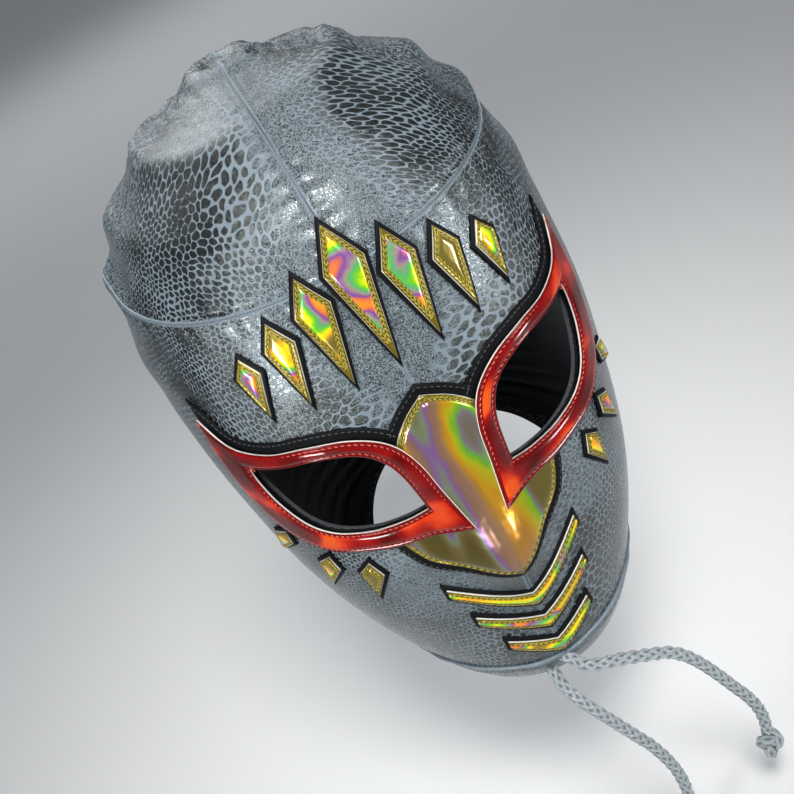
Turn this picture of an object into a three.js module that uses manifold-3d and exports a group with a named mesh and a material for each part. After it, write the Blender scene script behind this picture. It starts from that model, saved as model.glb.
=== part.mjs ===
// A luchador mask: a full wrestling mask of stretch cloth, sewn from four panels, with vinyl trims.
// Millimetres. +Z is up, the face looks along -Y and +X is the viewer's right.
// The origin is the inside of the crown's top, where a head carries the mask.

import * as THREE from "three";
import { mergeVertices } from "three/addons/utils/BufferGeometryUtils.js";
import Module from "manifold-3d";

const wasm = await Module();
wasm.setup();

// The worn shape
const HALF_WIDTH = 77;
const FRONT_DEPTH = 90;
const BACK_DEPTH = 90;
const CROWN_HEIGHT = 86;
const JAW_DROP = 127;
const HEM_SLOPE = 25;
const NOSE_RISE = 15.5;
const NOSE_HALF_WIDTH = 12.5;

// Cloth, vinyl and the gaps between layers
const CLOTH = 1.4;
const VINYL = 0.8;
const BACKING = 0.8;
const LAYER_GAP = 0.8;
const SEAM_GAP = 0.3;

// Seams, measured down the front from the top of the crown
const CROWN_SEAM = 107;
const CROWN_SEAM_LIFT = 30;

// Eye trims
const EYE_LEVEL = 136.5;
const EYE_HEIGHT = 66;
const EYE_SPAN = 70;
const EYE_INSET = 4.2;
const EYE_RIM = 5.5;
const EYE_UPPER_BORDER = 3.4;
const EYE_LOWER_BORDER = 1.3;

// Nose piece
const NOSE_TOP = 152;
const NOSE_LENGTH = 69;
const NOSE_PIECE_HALF = 27;

// Brow, cheek and chin pieces
const BROW_FOOT = 139;
const BROW_HEIGHT = 47;
const BROW_WIDTH = 13;
const BROW_PITCH = 14;
const CHEEK_HEIGHT = 21;
const CHEEK_WIDTH = 8.5;
const CHEEK_GAP = 5;
const CHIN_HALF_WIDTH = 23;
const CHIN_BAND = 7;
const CHIN_MARGIN = 4;
const PIECE_BORDER = 1.4;
const KITE_SHOULDER = 0.2;
const CHEVRON_TAPER = 0.7;

// Back opening, its bindings and its lace
const OPENING_HALF = 8;
const BINDING_WIDTH = 3;
const BINDING_THICKNESS = 2.4;
const LACE_DIAMETER = 2.6;
const LACE_CROSSINGS = 9;
const LACE_SIDES = 6;

// Hem and tie cords
const HEM_WIDTH = 16;
const HEM_THICKNESS = 1.8;
const CORD_DIAMETER = 4.5;
const CORD_SIDES = 8;
const CORD_STEPS = 14;
const KNOT_LENGTH = 14;
const KNOT_WIDTH = 10;
const CORD_GAP = 0.4;

// Fineness of the facets
const OUTLINE_STEP = 10;
const FACETS = [10, 24];
const NOSE_FACETS = [6, 11];
const CHIN_FACETS = [6, 12];
const CUTTER_FACETS = [60, 60];
const SNAP = 0.05;
const EYE_EDGE_POINTS = 15;
const RING_BANDS = 2;
const PANEL_COLUMNS = 20;
const COLUMN_EASE = 0.3;
const CROWN_ROWS = 8;
const HEM_COLUMNS = 20;
const BINDING_ROWS = 16;
const FRONT_STEPS = 600;

// A short table: its columns are named once and each row becomes an object.
function table(columns, rows) {
  return rows.map((row) => Object.fromEntries(columns.map((name, i) => [name, row[i]])));
}

// The crown's rows follow a rounded dome. Angles are measured at its centre, from the top.
const CROWN_ANGLES = [0, 12, 24, 36, 48, 60, 72, 84];
const CROWN_SHARE = 0.905;
const CROWN_FRONT = 0.96;
const CROWN_SQUARENESS = 0.12;
const CROWN_FULLNESS = 0.92;

// The rows below the crown: shares of JAW_DROP, HEM_SLOPE, HALF_WIDTH, FRONT_DEPTH and BACK_DEPTH.
// square is the power of each section's rounded outline, where 2 is an ellipse.
const LOWER_ROWS = table(
  ["down", "slope", "half", "front", "back", "square"],
  [
    [0.0, 0.0, 1.0, 0.99, 1.0, 2.15],
    [0.143, 0.0, 1.0, 1.0, 0.98, 2.2],
    [0.292, 0.04, 0.99, 0.99, 0.94, 2.2],
    [0.436, 0.12, 0.965, 0.955, 0.88, 2.2],
    [0.579, 0.25, 0.93, 0.935, 0.825, 2.15],
    [0.717, 0.42, 0.875, 0.92, 0.775, 2.1],
    [0.84, 0.62, 0.8, 0.875, 0.74, 2.05],
    [0.937, 0.83, 0.7, 0.82, 0.72, 2.0],
    [1.0, 1.0, 0.605, 0.725, 0.71, 2.0],
  ]
);

// Soft forms of the face under the cloth. Shares of HALF_WIDTH (across, wide), of the height to the
// hem (down, tall) and of NOSE_RISE (rise).
const FACE_FORMS = table(
  ["across", "down", "wide", "tall", "rise"],
  [
    [0, 0.77, 0.325, 0.068, 0.33],
    [0.45, 0.64, 0.215, 0.073, -0.33],
    [-0.45, 0.64, 0.215, 0.073, -0.33],
    [0, 0.9, 0.28, 0.07, 0.12],
    [0, 1.03, 0.25, 0.065, 0.15],
  ]
);

// The nose ridge rises from the brow and ends under the tip. Shares of the height to the hem.
const NOSE_BROW = 0.54;
const NOSE_TIP = 0.818;
const NOSE_BROW_SOFTNESS = 0.043;
const NOSE_TIP_SOFTNESS = 0.028;

// The ridge's share of its full rise where it leaves the brow.
const NOSE_ROOT = 0.28;

// Gathers drawn in by the lace. side is 1 for +X and -1 for -X. along is where the ridge meets the
// back, as a share of CROWN_SEAM, lean is how far it falls for each millimetre forward, and rise,
// width and reach are shares of GATHER_RISE, GATHER_WIDTH and GATHER_REACH.
const GATHER_RISE = 4.5;
const GATHER_WIDTH = 7;
const GATHER_REACH = 120;
const GATHERS = table(
  ["side", "along", "lean", "rise", "width", "reach"],
  [
    [-1, 0.1, 0.0, 0.9, 1.0, 0.8],
    [-1, 0.36, 0.1, 0.75, 0.8, 1.1],
    [-1, 0.56, 0.13, 1.0, 0.85, 1.2],
    [-1, 0.76, 0.11, 1.1, 0.8, 1.15],
    [-1, 0.98, 0.12, 0.8, 0.9, 1.0],
    [-1, 1.25, 0.05, 0.7, 1.1, 0.8],
    [1, 0.1, 0.0, 0.9, 1.0, 0.8],
    [1, 0.36, 0.08, 0.75, 0.8, 1.2],
    [1, 0.56, 0.12, 1.0, 0.85, 1.1],
    [1, 0.76, 0.09, 1.1, 0.8, 1.25],
    [1, 0.98, 0.1, 0.8, 0.9, 1.05],
    [1, 1.25, 0.04, 0.7, 1.1, 0.8],
  ]
);

// Where the face panel's facets end, as shares from the crown seam to the hem. They lie closer
// together at the nose and lips.
const FACE_LEVELS = [
  0, 0.09, 0.18, 0.27, 0.34, 0.4, 0.45, 0.49, 0.53, 0.57, 0.6, 0.63, 0.67, 0.72, 0.78, 0.85, 0.93, 1,
];

// Eye outlines for the +X side. across is a share of EYE_SPAN from the inner tip, along is a share
// of EYE_HEIGHT down from the outer tip.
const TRIM_UPPER_EDGE = table(
  ["across", "along"],
  [
    [1.0, 0.0],
    [0.87, 0.155],
    [0.67, 0.222],
    [0.46, 0.235],
    [0.28, 0.275],
    [0.145, 0.375],
    [0.075, 0.53],
    [0.04, 0.73],
    [0.0, 0.975],
  ]
);
const TRIM_LOWER_EDGE = table(
  ["across", "along"],
  [
    [0.0, 0.975],
    [0.16, 0.98],
    [0.33, 1.0],
    [0.5, 0.982],
    [0.68, 0.93],
    [0.835, 0.8],
    [0.94, 0.6],
    [1.0, 0.35],
    [1.012, 0.15],
    [1.0, 0.0],
  ]
);
const HOLE_UPPER_EDGE = table(
  ["across", "along"],
  [
    [0.82, 0.285],
    [0.63, 0.303],
    [0.45, 0.31],
    [0.29, 0.355],
    [0.2, 0.445],
    [0.15, 0.59],
    [0.122, 0.81],
  ]
);
const HOLE_LOWER_EDGE = table(
  ["across", "along"],
  [
    [0.122, 0.81],
    [0.25, 0.862],
    [0.41, 0.88],
    [0.58, 0.83],
    [0.7, 0.72],
    [0.785, 0.54],
    [0.82, 0.38],
    [0.82, 0.285],
  ]
);

// Half of the nose piece, from its top point to its bottom point. Shares of NOSE_PIECE_HALF and
// NOSE_LENGTH.
const NOSE_EDGE = table(
  ["across", "along"],
  [
    [0.0, 0.0],
    [0.28, 0.075],
    [0.5, 0.19],
    [0.62, 0.4],
    [0.78, 0.6],
    [1.0, 0.74],
    [0.8, 0.86],
    [0.42, 0.93],
    [0.0, 1.0],
  ]
);

// Brow pieces: place counts from the centre, height and width are shares of the centre piece.
const BROW_PIECES = table(
  ["place", "height", "width"],
  [
    [-3, 0.44, 0.7],
    [-2, 0.6, 0.78],
    [-1, 0.78, 0.88],
    [0, 1.0, 1.0],
    [1, 0.78, 0.88],
    [2, 0.6, 0.78],
    [3, 0.44, 0.7],
  ]
);

// Cheek pieces under the lower edge of the eye trim. at is the share of EYE_SPAN where they hang.
const CHEEK_PIECES = table(
  ["at", "height", "turn"],
  [
    [0.52, 0.82, -14],
    [0.7, 0.92, -28],
    [0.87, 1.0, -44],
  ]
);

// Chevrons on the chin, from the nose to the hem. half is a share of CHIN_HALF_WIDTH.
const CHIN_PIECES = table(
  ["half", "dip"],
  [
    [1.0, 0.62],
    [0.84, 0.6],
    [0.62, 0.56],
  ]
);

// Routes of the two tie cords, from the hem at the chin to their knots.
const CORD_RIGHT = [
  [0.8, -77.4, -227.8],
  [3.0, -80.6, -229.6],
  [8.2, -82.8, -231.4],
  [15.0, -83.6, -233.4],
  [22.0, -84.0, -236.6],
  [27.4, -84.0, -239.4],
  [32.2, -84.0, -242.4],
  [36.6, -84.0, -247.4],
  [40.4, -84.0, -254.2],
  [44.2, -83.8, -263.3],
  [47.8, -83.5, -273.2],
  [50.5, -83.2, -280.6],
  [52.2, -83.0, -287.6],
  [52.6, -82.7, -294.6],
  [51.6, -82.3, -301.8],
];
const CORD_LEFT = [
  [-7.5, -71.6, -233.8],
  [-7.2, -75.4, -237.4],
  [-5.4, -78.8, -241.8],
  [-3.0, -81.0, -247.0],
  [-0.6, -82.0, -252.2],
  [1.9, -82.2, -258.2],
  [4.4, -82.2, -264.4],
  [6.9, -82.2, -270.6],
  [9.6, -82.0, -277.4],
  [11.7, -81.8, -284.6],
  [13.2, -81.5, -291.9],
  [13.9, -81.3, -298.6],
  [13.8, -81.1, -305.4],
  [12.7, -81.0, -312.2],
  [10.8, -80.8, -319.2],
];

const COLOURS = {
  cloth: { color: 0x7c8c90, roughness: 0.35, metalness: 0.4 },
  gold: { color: 0xb79a3c, roughness: 0.22, metalness: 0.7 },
  red: { color: 0x9c1c10, roughness: 0.2, metalness: 0.5 },
  black: { color: 0x14161a, roughness: 0.4, metalness: 0.1 },
  cord: { color: 0xb4bac0, roughness: 0.85, metalness: 0.0 },
};

function crownRows() {
  return CROWN_ANGLES.map((degrees) => {
    const angle = THREE.MathUtils.degToRad(degrees);
    const reach = Math.sin(angle) ** CROWN_FULLNESS;
    return {
      down: CROWN_SHARE * CROWN_HEIGHT * (1 - Math.cos(angle)),
      slope: 0,
      half: HALF_WIDTH * reach,
      front: CROWN_FRONT * FRONT_DEPTH * reach,
      back: BACK_DEPTH * reach,
      square: 2 + CROWN_SQUARENESS * reach,
    };
  });
}

function lowerRows() {
  return LOWER_ROWS.map((row) => ({
    down: CROWN_HEIGHT + JAW_DROP * row.down,
    slope: HEM_SLOPE * row.slope,
    half: HALF_WIDTH * row.half,
    front: FRONT_DEPTH * row.front,
    back: BACK_DEPTH * row.back,
    square: row.square,
  }));
}

const ROWS = [...crownRows(), ...lowerRows()];
const LAST_ROW = ROWS.length - 1;

// The slope of a column at a row, from its neighbours.
function slopeAt(index, name) {
  const before = Math.max(index - 1, 0);
  const after = Math.min(index + 1, LAST_ROW);
  return (ROWS[after][name] - ROWS[before][name]) / (after - before);
}

// One column of the table at a place between rows, by a cubic through the rows.
function column(name, row) {
  const place = Math.min(Math.max(row, 0), LAST_ROW);
  const index = Math.min(Math.floor(place), LAST_ROW - 1);
  const s = place - index;
  const start = ROWS[index][name];
  const end = ROWS[index + 1][name];
  return (
    (2 * s ** 3 - 3 * s ** 2 + 1) * start +
    (s ** 3 - 2 * s ** 2 + s) * slopeAt(index, name) +
    (-2 * s ** 3 + 3 * s ** 2) * end +
    (s ** 3 - s ** 2) * slopeAt(index + 1, name)
  );
}

function bell(value, centre, width) {
  return Math.exp(-(((value - centre) / width) ** 2));
}

function rampUp(value, centre, width) {
  return 1 / (1 + Math.exp(-(value - centre) / width));
}

// How far the cloth stands forward over the nose, cheeks, lips and chin, and back at the eyes.
function faceRelief(x, down) {
  const height = CROWN_HEIGHT + JAW_DROP;
  const brow = rampUp(down, NOSE_BROW * height, NOSE_BROW_SOFTNESS * height);
  const tip = rampUp(-down, -NOSE_TIP * height, NOSE_TIP_SOFTNESS * height);
  const growth = THREE.MathUtils.clamp((down / height - NOSE_BROW) / (NOSE_TIP - NOSE_BROW), 0, 1);
  const ridge = NOSE_ROOT + (1 - NOSE_ROOT) * growth;
  let rise = NOSE_RISE * bell(x, 0, NOSE_HALF_WIDTH) * brow * tip * ridge;
  for (const form of FACE_FORMS) {
    const across = bell(x, form.across * HALF_WIDTH, form.wide * HALF_WIDTH);
    const tall = bell(down, form.down * height, form.tall * height);
    rise += form.rise * NOSE_RISE * across * tall;
  }
  return rise;
}

// Near the crown's top the sections close to a point.
const TINY = 1e-6;
const POLE_ROWS = 0.02;

// The cloth's outer surface without gathers. angle is 0 at the front and positive towards +X.
function skin(angle, row) {
  const cos = Math.cos(angle);
  const sin = Math.sin(angle);
  const half = column("half", row);
  if (half < TINY) {
    return new THREE.Vector3(0, 0, CLOTH);
  }
  const depth = column(cos > 0 ? "front" : "back", row);
  const square = column("square", row);
  const inverse = Math.abs(cos / depth) ** square + Math.abs(sin / half) ** square;
  const reach = inverse ** (-1 / square);
  const down = column("down", row) + column("slope", row) * cos;
  const x = reach * sin;
  const facing = THREE.MathUtils.clamp(3 * cos, 0, 1);
  return new THREE.Vector3(x, -reach * cos - faceRelief(x, down) * facing, CLOTH - down);
}

function normal(angle, row) {
  const step = 1e-3;
  if (row < POLE_ROWS) {
    return new THREE.Vector3(0, 0, 1);
  }
  const low = Math.min(row + step, LAST_ROW);
  const across = skin(angle + step, row).sub(skin(angle - step, row));
  const along = skin(angle, low).sub(skin(angle, row - step));
  return along.cross(across).normalize();
}

// The distance down the front from the crown's top to each small step of the rows.
const FRONT_LENGTHS = [0];
for (let i = 1; i <= FRONT_STEPS; i += 1) {
  const here = (i / FRONT_STEPS) * LAST_ROW;
  const last = ((i - 1) / FRONT_STEPS) * LAST_ROW;
  const forward = column("front", here) - column("front", last);
  const fall = column("down", here) + column("slope", here) - column("down", last) - column("slope", last);
  FRONT_LENGTHS.push(FRONT_LENGTHS[i - 1] + Math.hypot(forward, fall));
}
const HEM_LEVEL = FRONT_LENGTHS[FRONT_STEPS];

function rowAt(along) {
  let low = 0;
  let high = FRONT_STEPS;
  while (high - low > 1) {
    const middle = (low + high) >> 1;
    if (FRONT_LENGTHS[middle] < along) low = middle;
    else high = middle;
  }
  const share = (along - FRONT_LENGTHS[low]) / (FRONT_LENGTHS[high] - FRONT_LENGTHS[low]);
  return ((low + share) / FRONT_STEPS) * LAST_ROW;
}

function alongAt(row) {
  const place = (row / LAST_ROW) * FRONT_STEPS;
  const low = Math.min(Math.floor(place), FRONT_STEPS - 1);
  return FRONT_LENGTHS[low] + (place - low) * (FRONT_LENGTHS[low + 1] - FRONT_LENGTHS[low]);
}

// How far the gathers lift the cloth. They fade with the distance from the back's centre line.
function gather(angle, row) {
  const along = alongAt(row);
  const round = (Math.PI - Math.abs(angle)) * 0.5 * (column("half", row) + column("back", row));
  let lift = 0;
  for (const fold of GATHERS) {
    if (fold.side * angle > 0) {
      const ridge = fold.along * CROWN_SEAM + fold.lean * round;
      const fade = bell(round, 0, fold.reach * GATHER_REACH);
      lift += GATHER_RISE * fold.rise * fade * bell(along, ridge, fold.width * GATHER_WIDTH);
    }
  }
  return lift;
}

// A point of the cloth, height above its outer face.
function cloth(angle, row, height) {
  return skin(angle, row).addScaledVector(normal(angle, row), height + gather(angle, row));
}

// A flat pattern point laid on the face: across is measured round it, along down the front.
function laid(across, along, height) {
  const row = rowAt(along);
  const radius = 0.5 * (column("half", row) + column("front", row));
  return cloth(across / radius, row, height);
}

function toSolid(geometry) {
  const bare = geometry.clone();
  bare.deleteAttribute("normal");
  bare.deleteAttribute("uv");
  const merged = mergeVertices(bare, 1e-5);
  const mesh = new wasm.Mesh({
    numProp: 3,
    vertProperties: new Float32Array(merged.attributes.position.array),
    triVerts: new Uint32Array(merged.index.array),
  });
  return new wasm.Manifold(mesh);
}

function toGeometry(solid) {
  const mesh = solid.getMesh();
  const geometry = new THREE.BufferGeometry();
  geometry.setAttribute("position", new THREE.BufferAttribute(new Float32Array(mesh.vertProperties), 3));
  geometry.setIndex(new THREE.BufferAttribute(new Uint32Array(mesh.triVerts), 1));
  return geometry;
}

// Splits every face along straight lines down and across the flat piece. steps holds their spacing.
function refine(geometry, steps) {
  const bare = geometry.clone();
  bare.deleteAttribute("normal");
  bare.deleteAttribute("uv");
  const merged = mergeVertices(bare, 1e-4);
  const flat = merged.attributes.position.array;
  const points = [];
  for (let i = 0; i < flat.length; i += 3) points.push([flat[i], flat[i + 1], flat[i + 2]]);
  let faces = [];
  for (let i = 0; i < merged.index.array.length; i += 3) {
    faces.push([...merged.index.array.slice(i, i + 3)]);
  }
  for (const [axis, spacing] of steps.entries()) {
    const values = points.map((point) => point[axis]);
    const first = Math.ceil(Math.min(...values) / spacing);
    const last = Math.floor(Math.max(...values) / spacing);
    for (let line = first; line <= last; line += 1) {
      faces = splitEdges(points, faces, (a, b) => crossing(points[a][axis], points[b][axis], line * spacing));
    }
  }
  const result = new THREE.BufferGeometry();
  result.setAttribute("position", new THREE.BufferAttribute(new Float32Array(points.flat()), 3));
  result.setIndex(faces.flat());
  return result;
}

// The share of an edge where it crosses a line, or null where it ends on it or stays to one side.
function crossing(start, end, line) {
  const [from, to] = [start - line, end - line];
  const clear = Math.min(Math.abs(from), Math.abs(to)) > SNAP;
  return from * to < 0 && clear ? from / (from - to) : null;
}

// One round of splits. test gives the share of an edge where it is cut, or null.
function splitEdges(points, faces, test) {
  const cuts = new Map();
  function cut(a, b) {
    const key = a < b ? `${a} ${b}` : `${b} ${a}`;
    if (!cuts.has(key)) {
      const [low, high] = a < b ? [a, b] : [b, a];
      const share = test(low, high);
      if (share === null) {
        cuts.set(key, -1);
      } else {
        points.push(points[low].map((value, i) => value + share * (points[high][i] - value)));
        cuts.set(key, points.length - 1);
      }
    }
    return cuts.get(key);
  }
  const result = [];
  for (const [a, b, c] of faces) {
    const mids = [cut(a, b), cut(b, c), cut(c, a)];
    const count = mids.filter((mid) => mid >= 0).length;
    const corners = [a, b, c];
    if (count === 0) {
      result.push(corners);
    } else if (count === 3) {
      result.push([a, mids[0], mids[2]], [mids[0], b, mids[1]], [mids[2], mids[1], c], mids);
    } else {
      const turn = count === 1 ? mids.findIndex((mid) => mid >= 0) : (mids.findIndex((mid) => mid < 0) + 1) % 3;
      const [p, q, r] = [corners[turn], corners[(turn + 1) % 3], corners[(turn + 2) % 3]];
      const [first, second] = [mids[turn], mids[(turn + 1) % 3]];
      if (count === 1) result.push([p, first, r], [first, q, r]);
      else result.push([first, q, second], [p, first, second], [p, second, r]);
    }
  }
  return result;
}

// Lays a flat piece on the face. Flat pieces are drawn with +Y up, so along is -y.
function bend(geometry, steps) {
  const fine = refine(geometry, steps);
  const place = fine.attributes.position;
  for (let i = 0; i < place.count; i += 1) {
    const point = laid(place.getX(i), -place.getY(i), place.getZ(i));
    place.setXYZ(i, point.x, point.y, point.z);
  }
  return fine;
}

function anticlockwise(outline) {
  return THREE.ShapeUtils.area(outline) > 0 ? outline : [...outline].reverse();
}

// A flat piece with its underside at height and the given thickness.
function flatPiece(outline, holes, height, thickness) {
  const shape = new THREE.Shape(anticlockwise(outline));
  shape.holes = holes.map((hole) => new THREE.Path(anticlockwise(hole)));
  const geometry = new THREE.ExtrudeGeometry(shape, { depth: thickness, bevelEnabled: false, steps: 1 });
  return geometry.translate(0, 0, height);
}

// A smooth edge through the points, without its last point, sampled at about the outline step.
function smoothEdge(points) {
  const curve = new THREE.SplineCurve(points);
  const count = Math.max(2, Math.round(curve.getLength() / OUTLINE_STEP));
  return curve.getSpacedPoints(count).slice(0, -1);
}

// Moves a closed outline outwards by the amount that spread gives for each outward direction.
function grow(outline, spread) {
  const turn = Math.sign(THREE.ShapeUtils.area(outline));
  return outline.map((point, i) => {
    const before = outline[(i + outline.length - 1) % outline.length];
    const after = outline[(i + 1) % outline.length];
    const first = new THREE.Vector2(point.y - before.y, before.x - point.x).normalize();
    const second = new THREE.Vector2(after.y - point.y, point.x - after.x).normalize();
    const middle = first.clone().add(second).normalize();
    const mitre = Math.min(1 / Math.max(middle.dot(first), 0.2), 2.2);
    const outwards = middle.multiplyScalar(turn);
    return point.clone().addScaledVector(outwards, mitre * spread(outwards));
  });
}

// Heights of the layers above the cloth
const BACKING_HEIGHT = LAYER_GAP;
const VINYL_HEIGHT = BACKING_HEIGHT + BACKING + LAYER_GAP;

function eyePoint(side, row) {
  const across = EYE_INSET + row.across * EYE_SPAN;
  return new THREE.Vector2(side * across, -(EYE_LEVEL + row.along * EYE_HEIGHT));
}

function eyeOutline(side, upper, lower) {
  return [upper, lower].flatMap((edge) => {
    const curve = new THREE.SplineCurve(edge.map((row) => eyePoint(side, row)));
    return curve.getSpacedPoints(EYE_EDGE_POINTS).slice(0, -1);
  });
}

function eyeTrimOutline(side) {
  return eyeOutline(side, TRIM_UPPER_EDGE, TRIM_LOWER_EDGE);
}

// The opening lies inside the trim. EYE_RIM is the trim's width above it, at the middle points of
// the two upper edges.
function eyeHoleOutline(side) {
  const rim = (HOLE_UPPER_EDGE[2].along - TRIM_UPPER_EDGE[3].along) * EYE_HEIGHT;
  return grow(eyeOutline(side, HOLE_UPPER_EDGE, HOLE_LOWER_EDGE), () => rim - EYE_RIM);
}

// The black backing shows more above the trim than below it. BORDER_TURN holds the slopes of the
// edge between which the one border turns into the other.
const BORDER_TURN = [-0.4, 0.6];

function eyeBackingOutline(side) {
  return grow(eyeTrimOutline(side), (outwards) => {
    const above = THREE.MathUtils.smoothstep(outwards.y, BORDER_TURN[0], BORDER_TURN[1]);
    return EYE_LOWER_BORDER + (EYE_UPPER_BORDER - EYE_LOWER_BORDER) * above;
  });
}

// A flat band between two outlines with matching points, laid on the face.
function eyeRing(side, outer, height, thickness) {
  const hole = eyeHoleOutline(side);
  const count = hole.length;
  const positions = [];
  for (const level of [height, height + thickness]) {
    for (let j = 0; j <= RING_BANDS; j += 1) {
      for (let i = 0; i < count; i += 1) {
        const point = outer[i].clone().lerp(hole[i], j / RING_BANDS);
        positions.push(...laid(point.x, -point.y, level).toArray());
      }
    }
  }
  const layer = count * (RING_BANDS + 1);
  const at = (i, j, top) => (top ? layer : 0) + j * count + (i % count);
  const index = [];
  const quad = (a, b, c, d) => index.push(a, b, c, a, c, d);
  for (let i = 0; i < count; i += 1) {
    for (let j = 0; j < RING_BANDS; j += 1) {
      quad(at(i, j, true), at(i + 1, j, true), at(i + 1, j + 1, true), at(i, j + 1, true));
      quad(at(i, j, false), at(i, j + 1, false), at(i + 1, j + 1, false), at(i + 1, j, false));
    }
    quad(at(i, 0, false), at(i + 1, 0, false), at(i + 1, 0, true), at(i, 0, true));
    const last = RING_BANDS;
    quad(at(i, last, false), at(i, last, true), at(i + 1, last, true), at(i + 1, last, false));
  }
  const geometry = new THREE.BufferGeometry();
  geometry.setAttribute("position", new THREE.BufferAttribute(new Float32Array(positions), 3));
  geometry.setIndex(index);
  return side > 0 ? geometry : turnFaces(geometry);
}

function eyeTrim(side) {
  return eyeRing(side, eyeTrimOutline(side), VINYL_HEIGHT, VINYL);
}

function eyeBacking(side) {
  return eyeRing(side, eyeBackingOutline(side), BACKING_HEIGHT, BACKING);
}

function nosePoint(side, row) {
  return new THREE.Vector2(side * row.across * NOSE_PIECE_HALF, -(NOSE_TOP + row.along * NOSE_LENGTH));
}

function noseOutline() {
  const corner = NOSE_EDGE.findIndex((row) => row.across === 1);
  const halves = [NOSE_EDGE.slice(0, corner + 1), NOSE_EDGE.slice(corner)];
  const right = halves.flatMap((half) => smoothEdge(half.map((row) => nosePoint(1, row))));
  const back = halves.map((half) => [...half].reverse()).reverse();
  const left = back.flatMap((half) => smoothEdge(half.map((row) => nosePoint(-1, row))));
  return [...right, ...left];
}

// The nose piece and its backing stop at the eye trims and their backings.
function nosePiece() {
  let solid = toSolid(flatPiece(noseOutline(), [], VINYL_HEIGHT, VINYL));
  for (const side of [-1, 1]) {
    const outline = grow(eyeTrimOutline(side), () => SEAM_GAP);
    solid = solid.subtract(toSolid(flatPiece(outline, [], VINYL_HEIGHT - VINYL, 3 * VINYL)));
  }
  return bend(toGeometry(solid), NOSE_FACETS);
}

function noseBacking() {
  const outline = grow(noseOutline(), () => EYE_UPPER_BORDER);
  let solid = toSolid(flatPiece(outline, [], BACKING_HEIGHT, BACKING));
  for (const side of [-1, 1]) {
    const edge = grow(eyeBackingOutline(side), () => SEAM_GAP);
    solid = solid.subtract(toSolid(flatPiece(edge, [], BACKING_HEIGHT - BACKING, 3 * BACKING)));
  }
  return bend(toGeometry(solid), NOSE_FACETS);
}

// A kite with its widest place above its middle, turned about its centre.
function kiteCorners(across, along, width, height, degrees) {
  const corners = [
    new THREE.Vector2(0, 0.5 * height),
    new THREE.Vector2(0.5 * width, KITE_SHOULDER * height),
    new THREE.Vector2(0, -0.5 * height),
    new THREE.Vector2(-0.5 * width, KITE_SHOULDER * height),
  ];
  const turn = THREE.MathUtils.degToRad(degrees);
  const centre = new THREE.Vector2();
  return corners.map((corner) => corner.rotateAround(centre, turn).add(new THREE.Vector2(across, -along)));
}

function vinylOn(corners, steps) {
  return bend(flatPiece(corners, [], VINYL_HEIGHT, VINYL), steps);
}

function backingUnder(corners, steps) {
  const outline = grow(corners, () => PIECE_BORDER);
  return bend(flatPiece(outline, [], BACKING_HEIGHT, BACKING), steps);
}

function browCorners(row) {
  const height = row.height * BROW_HEIGHT;
  const across = row.place * BROW_PITCH;
  return kiteCorners(across, BROW_FOOT - 0.5 * height, row.width * BROW_WIDTH, height, 0);
}

function cheekCorners(side, row) {
  const height = row.height * CHEEK_HEIGHT;
  const edge = TRIM_LOWER_EDGE;
  const next = edge.findIndex((point) => point.across > row.at);
  const share = (row.at - edge[next - 1].across) / (edge[next].across - edge[next - 1].across);
  const along = edge[next - 1].along + share * (edge[next].along - edge[next - 1].along);
  const across = EYE_INSET + row.at * EYE_SPAN;
  const turn = THREE.MathUtils.degToRad(-row.turn);
  const drop = EYE_LOWER_BORDER + CHEEK_GAP + 0.5 * height;
  const x = across + drop * Math.sin(turn);
  const y = EYE_LEVEL + along * EYE_HEIGHT + drop * Math.cos(turn);
  return kiteCorners(side * x, y, CHEEK_WIDTH, height, -side * row.turn);
}

// A chevron is a V band: its arms rise to both sides of its point.
function chinCorners(index) {
  const first = NOSE_TOP + NOSE_LENGTH + EYE_UPPER_BORDER + 2 * CHIN_MARGIN;
  const room = HEM_LEVEL - HEM_WIDTH - CHIN_MARGIN - first;
  const pitch = room / CHIN_PIECES.length;
  const row = CHIN_PIECES[index];
  const half = row.half * CHIN_HALF_WIDTH;
  const rise = row.dip * half;
  const top = -(first + (index + 1) * pitch - CHIN_BAND);
  return [
    new THREE.Vector2(0, top),
    new THREE.Vector2(-half, top + rise),
    new THREE.Vector2(-half, top + rise - CHEVRON_TAPER * CHIN_BAND),
    new THREE.Vector2(0, top - CHIN_BAND),
    new THREE.Vector2(half, top + rise - CHEVRON_TAPER * CHIN_BAND),
    new THREE.Vector2(half, top + rise),
  ];
}

// The angle of the back opening's edge at a row, moved forward by extra millimetres.
function backAngle(row, extra) {
  return Math.PI - Math.asin((OPENING_HALF + extra) / column("back", row));
}

function crownSeamRow(angle) {
  return rowAt(CROWN_SEAM - 0.5 * CROWN_SEAM_LIFT * (1 - Math.cos(angle)));
}

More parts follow.
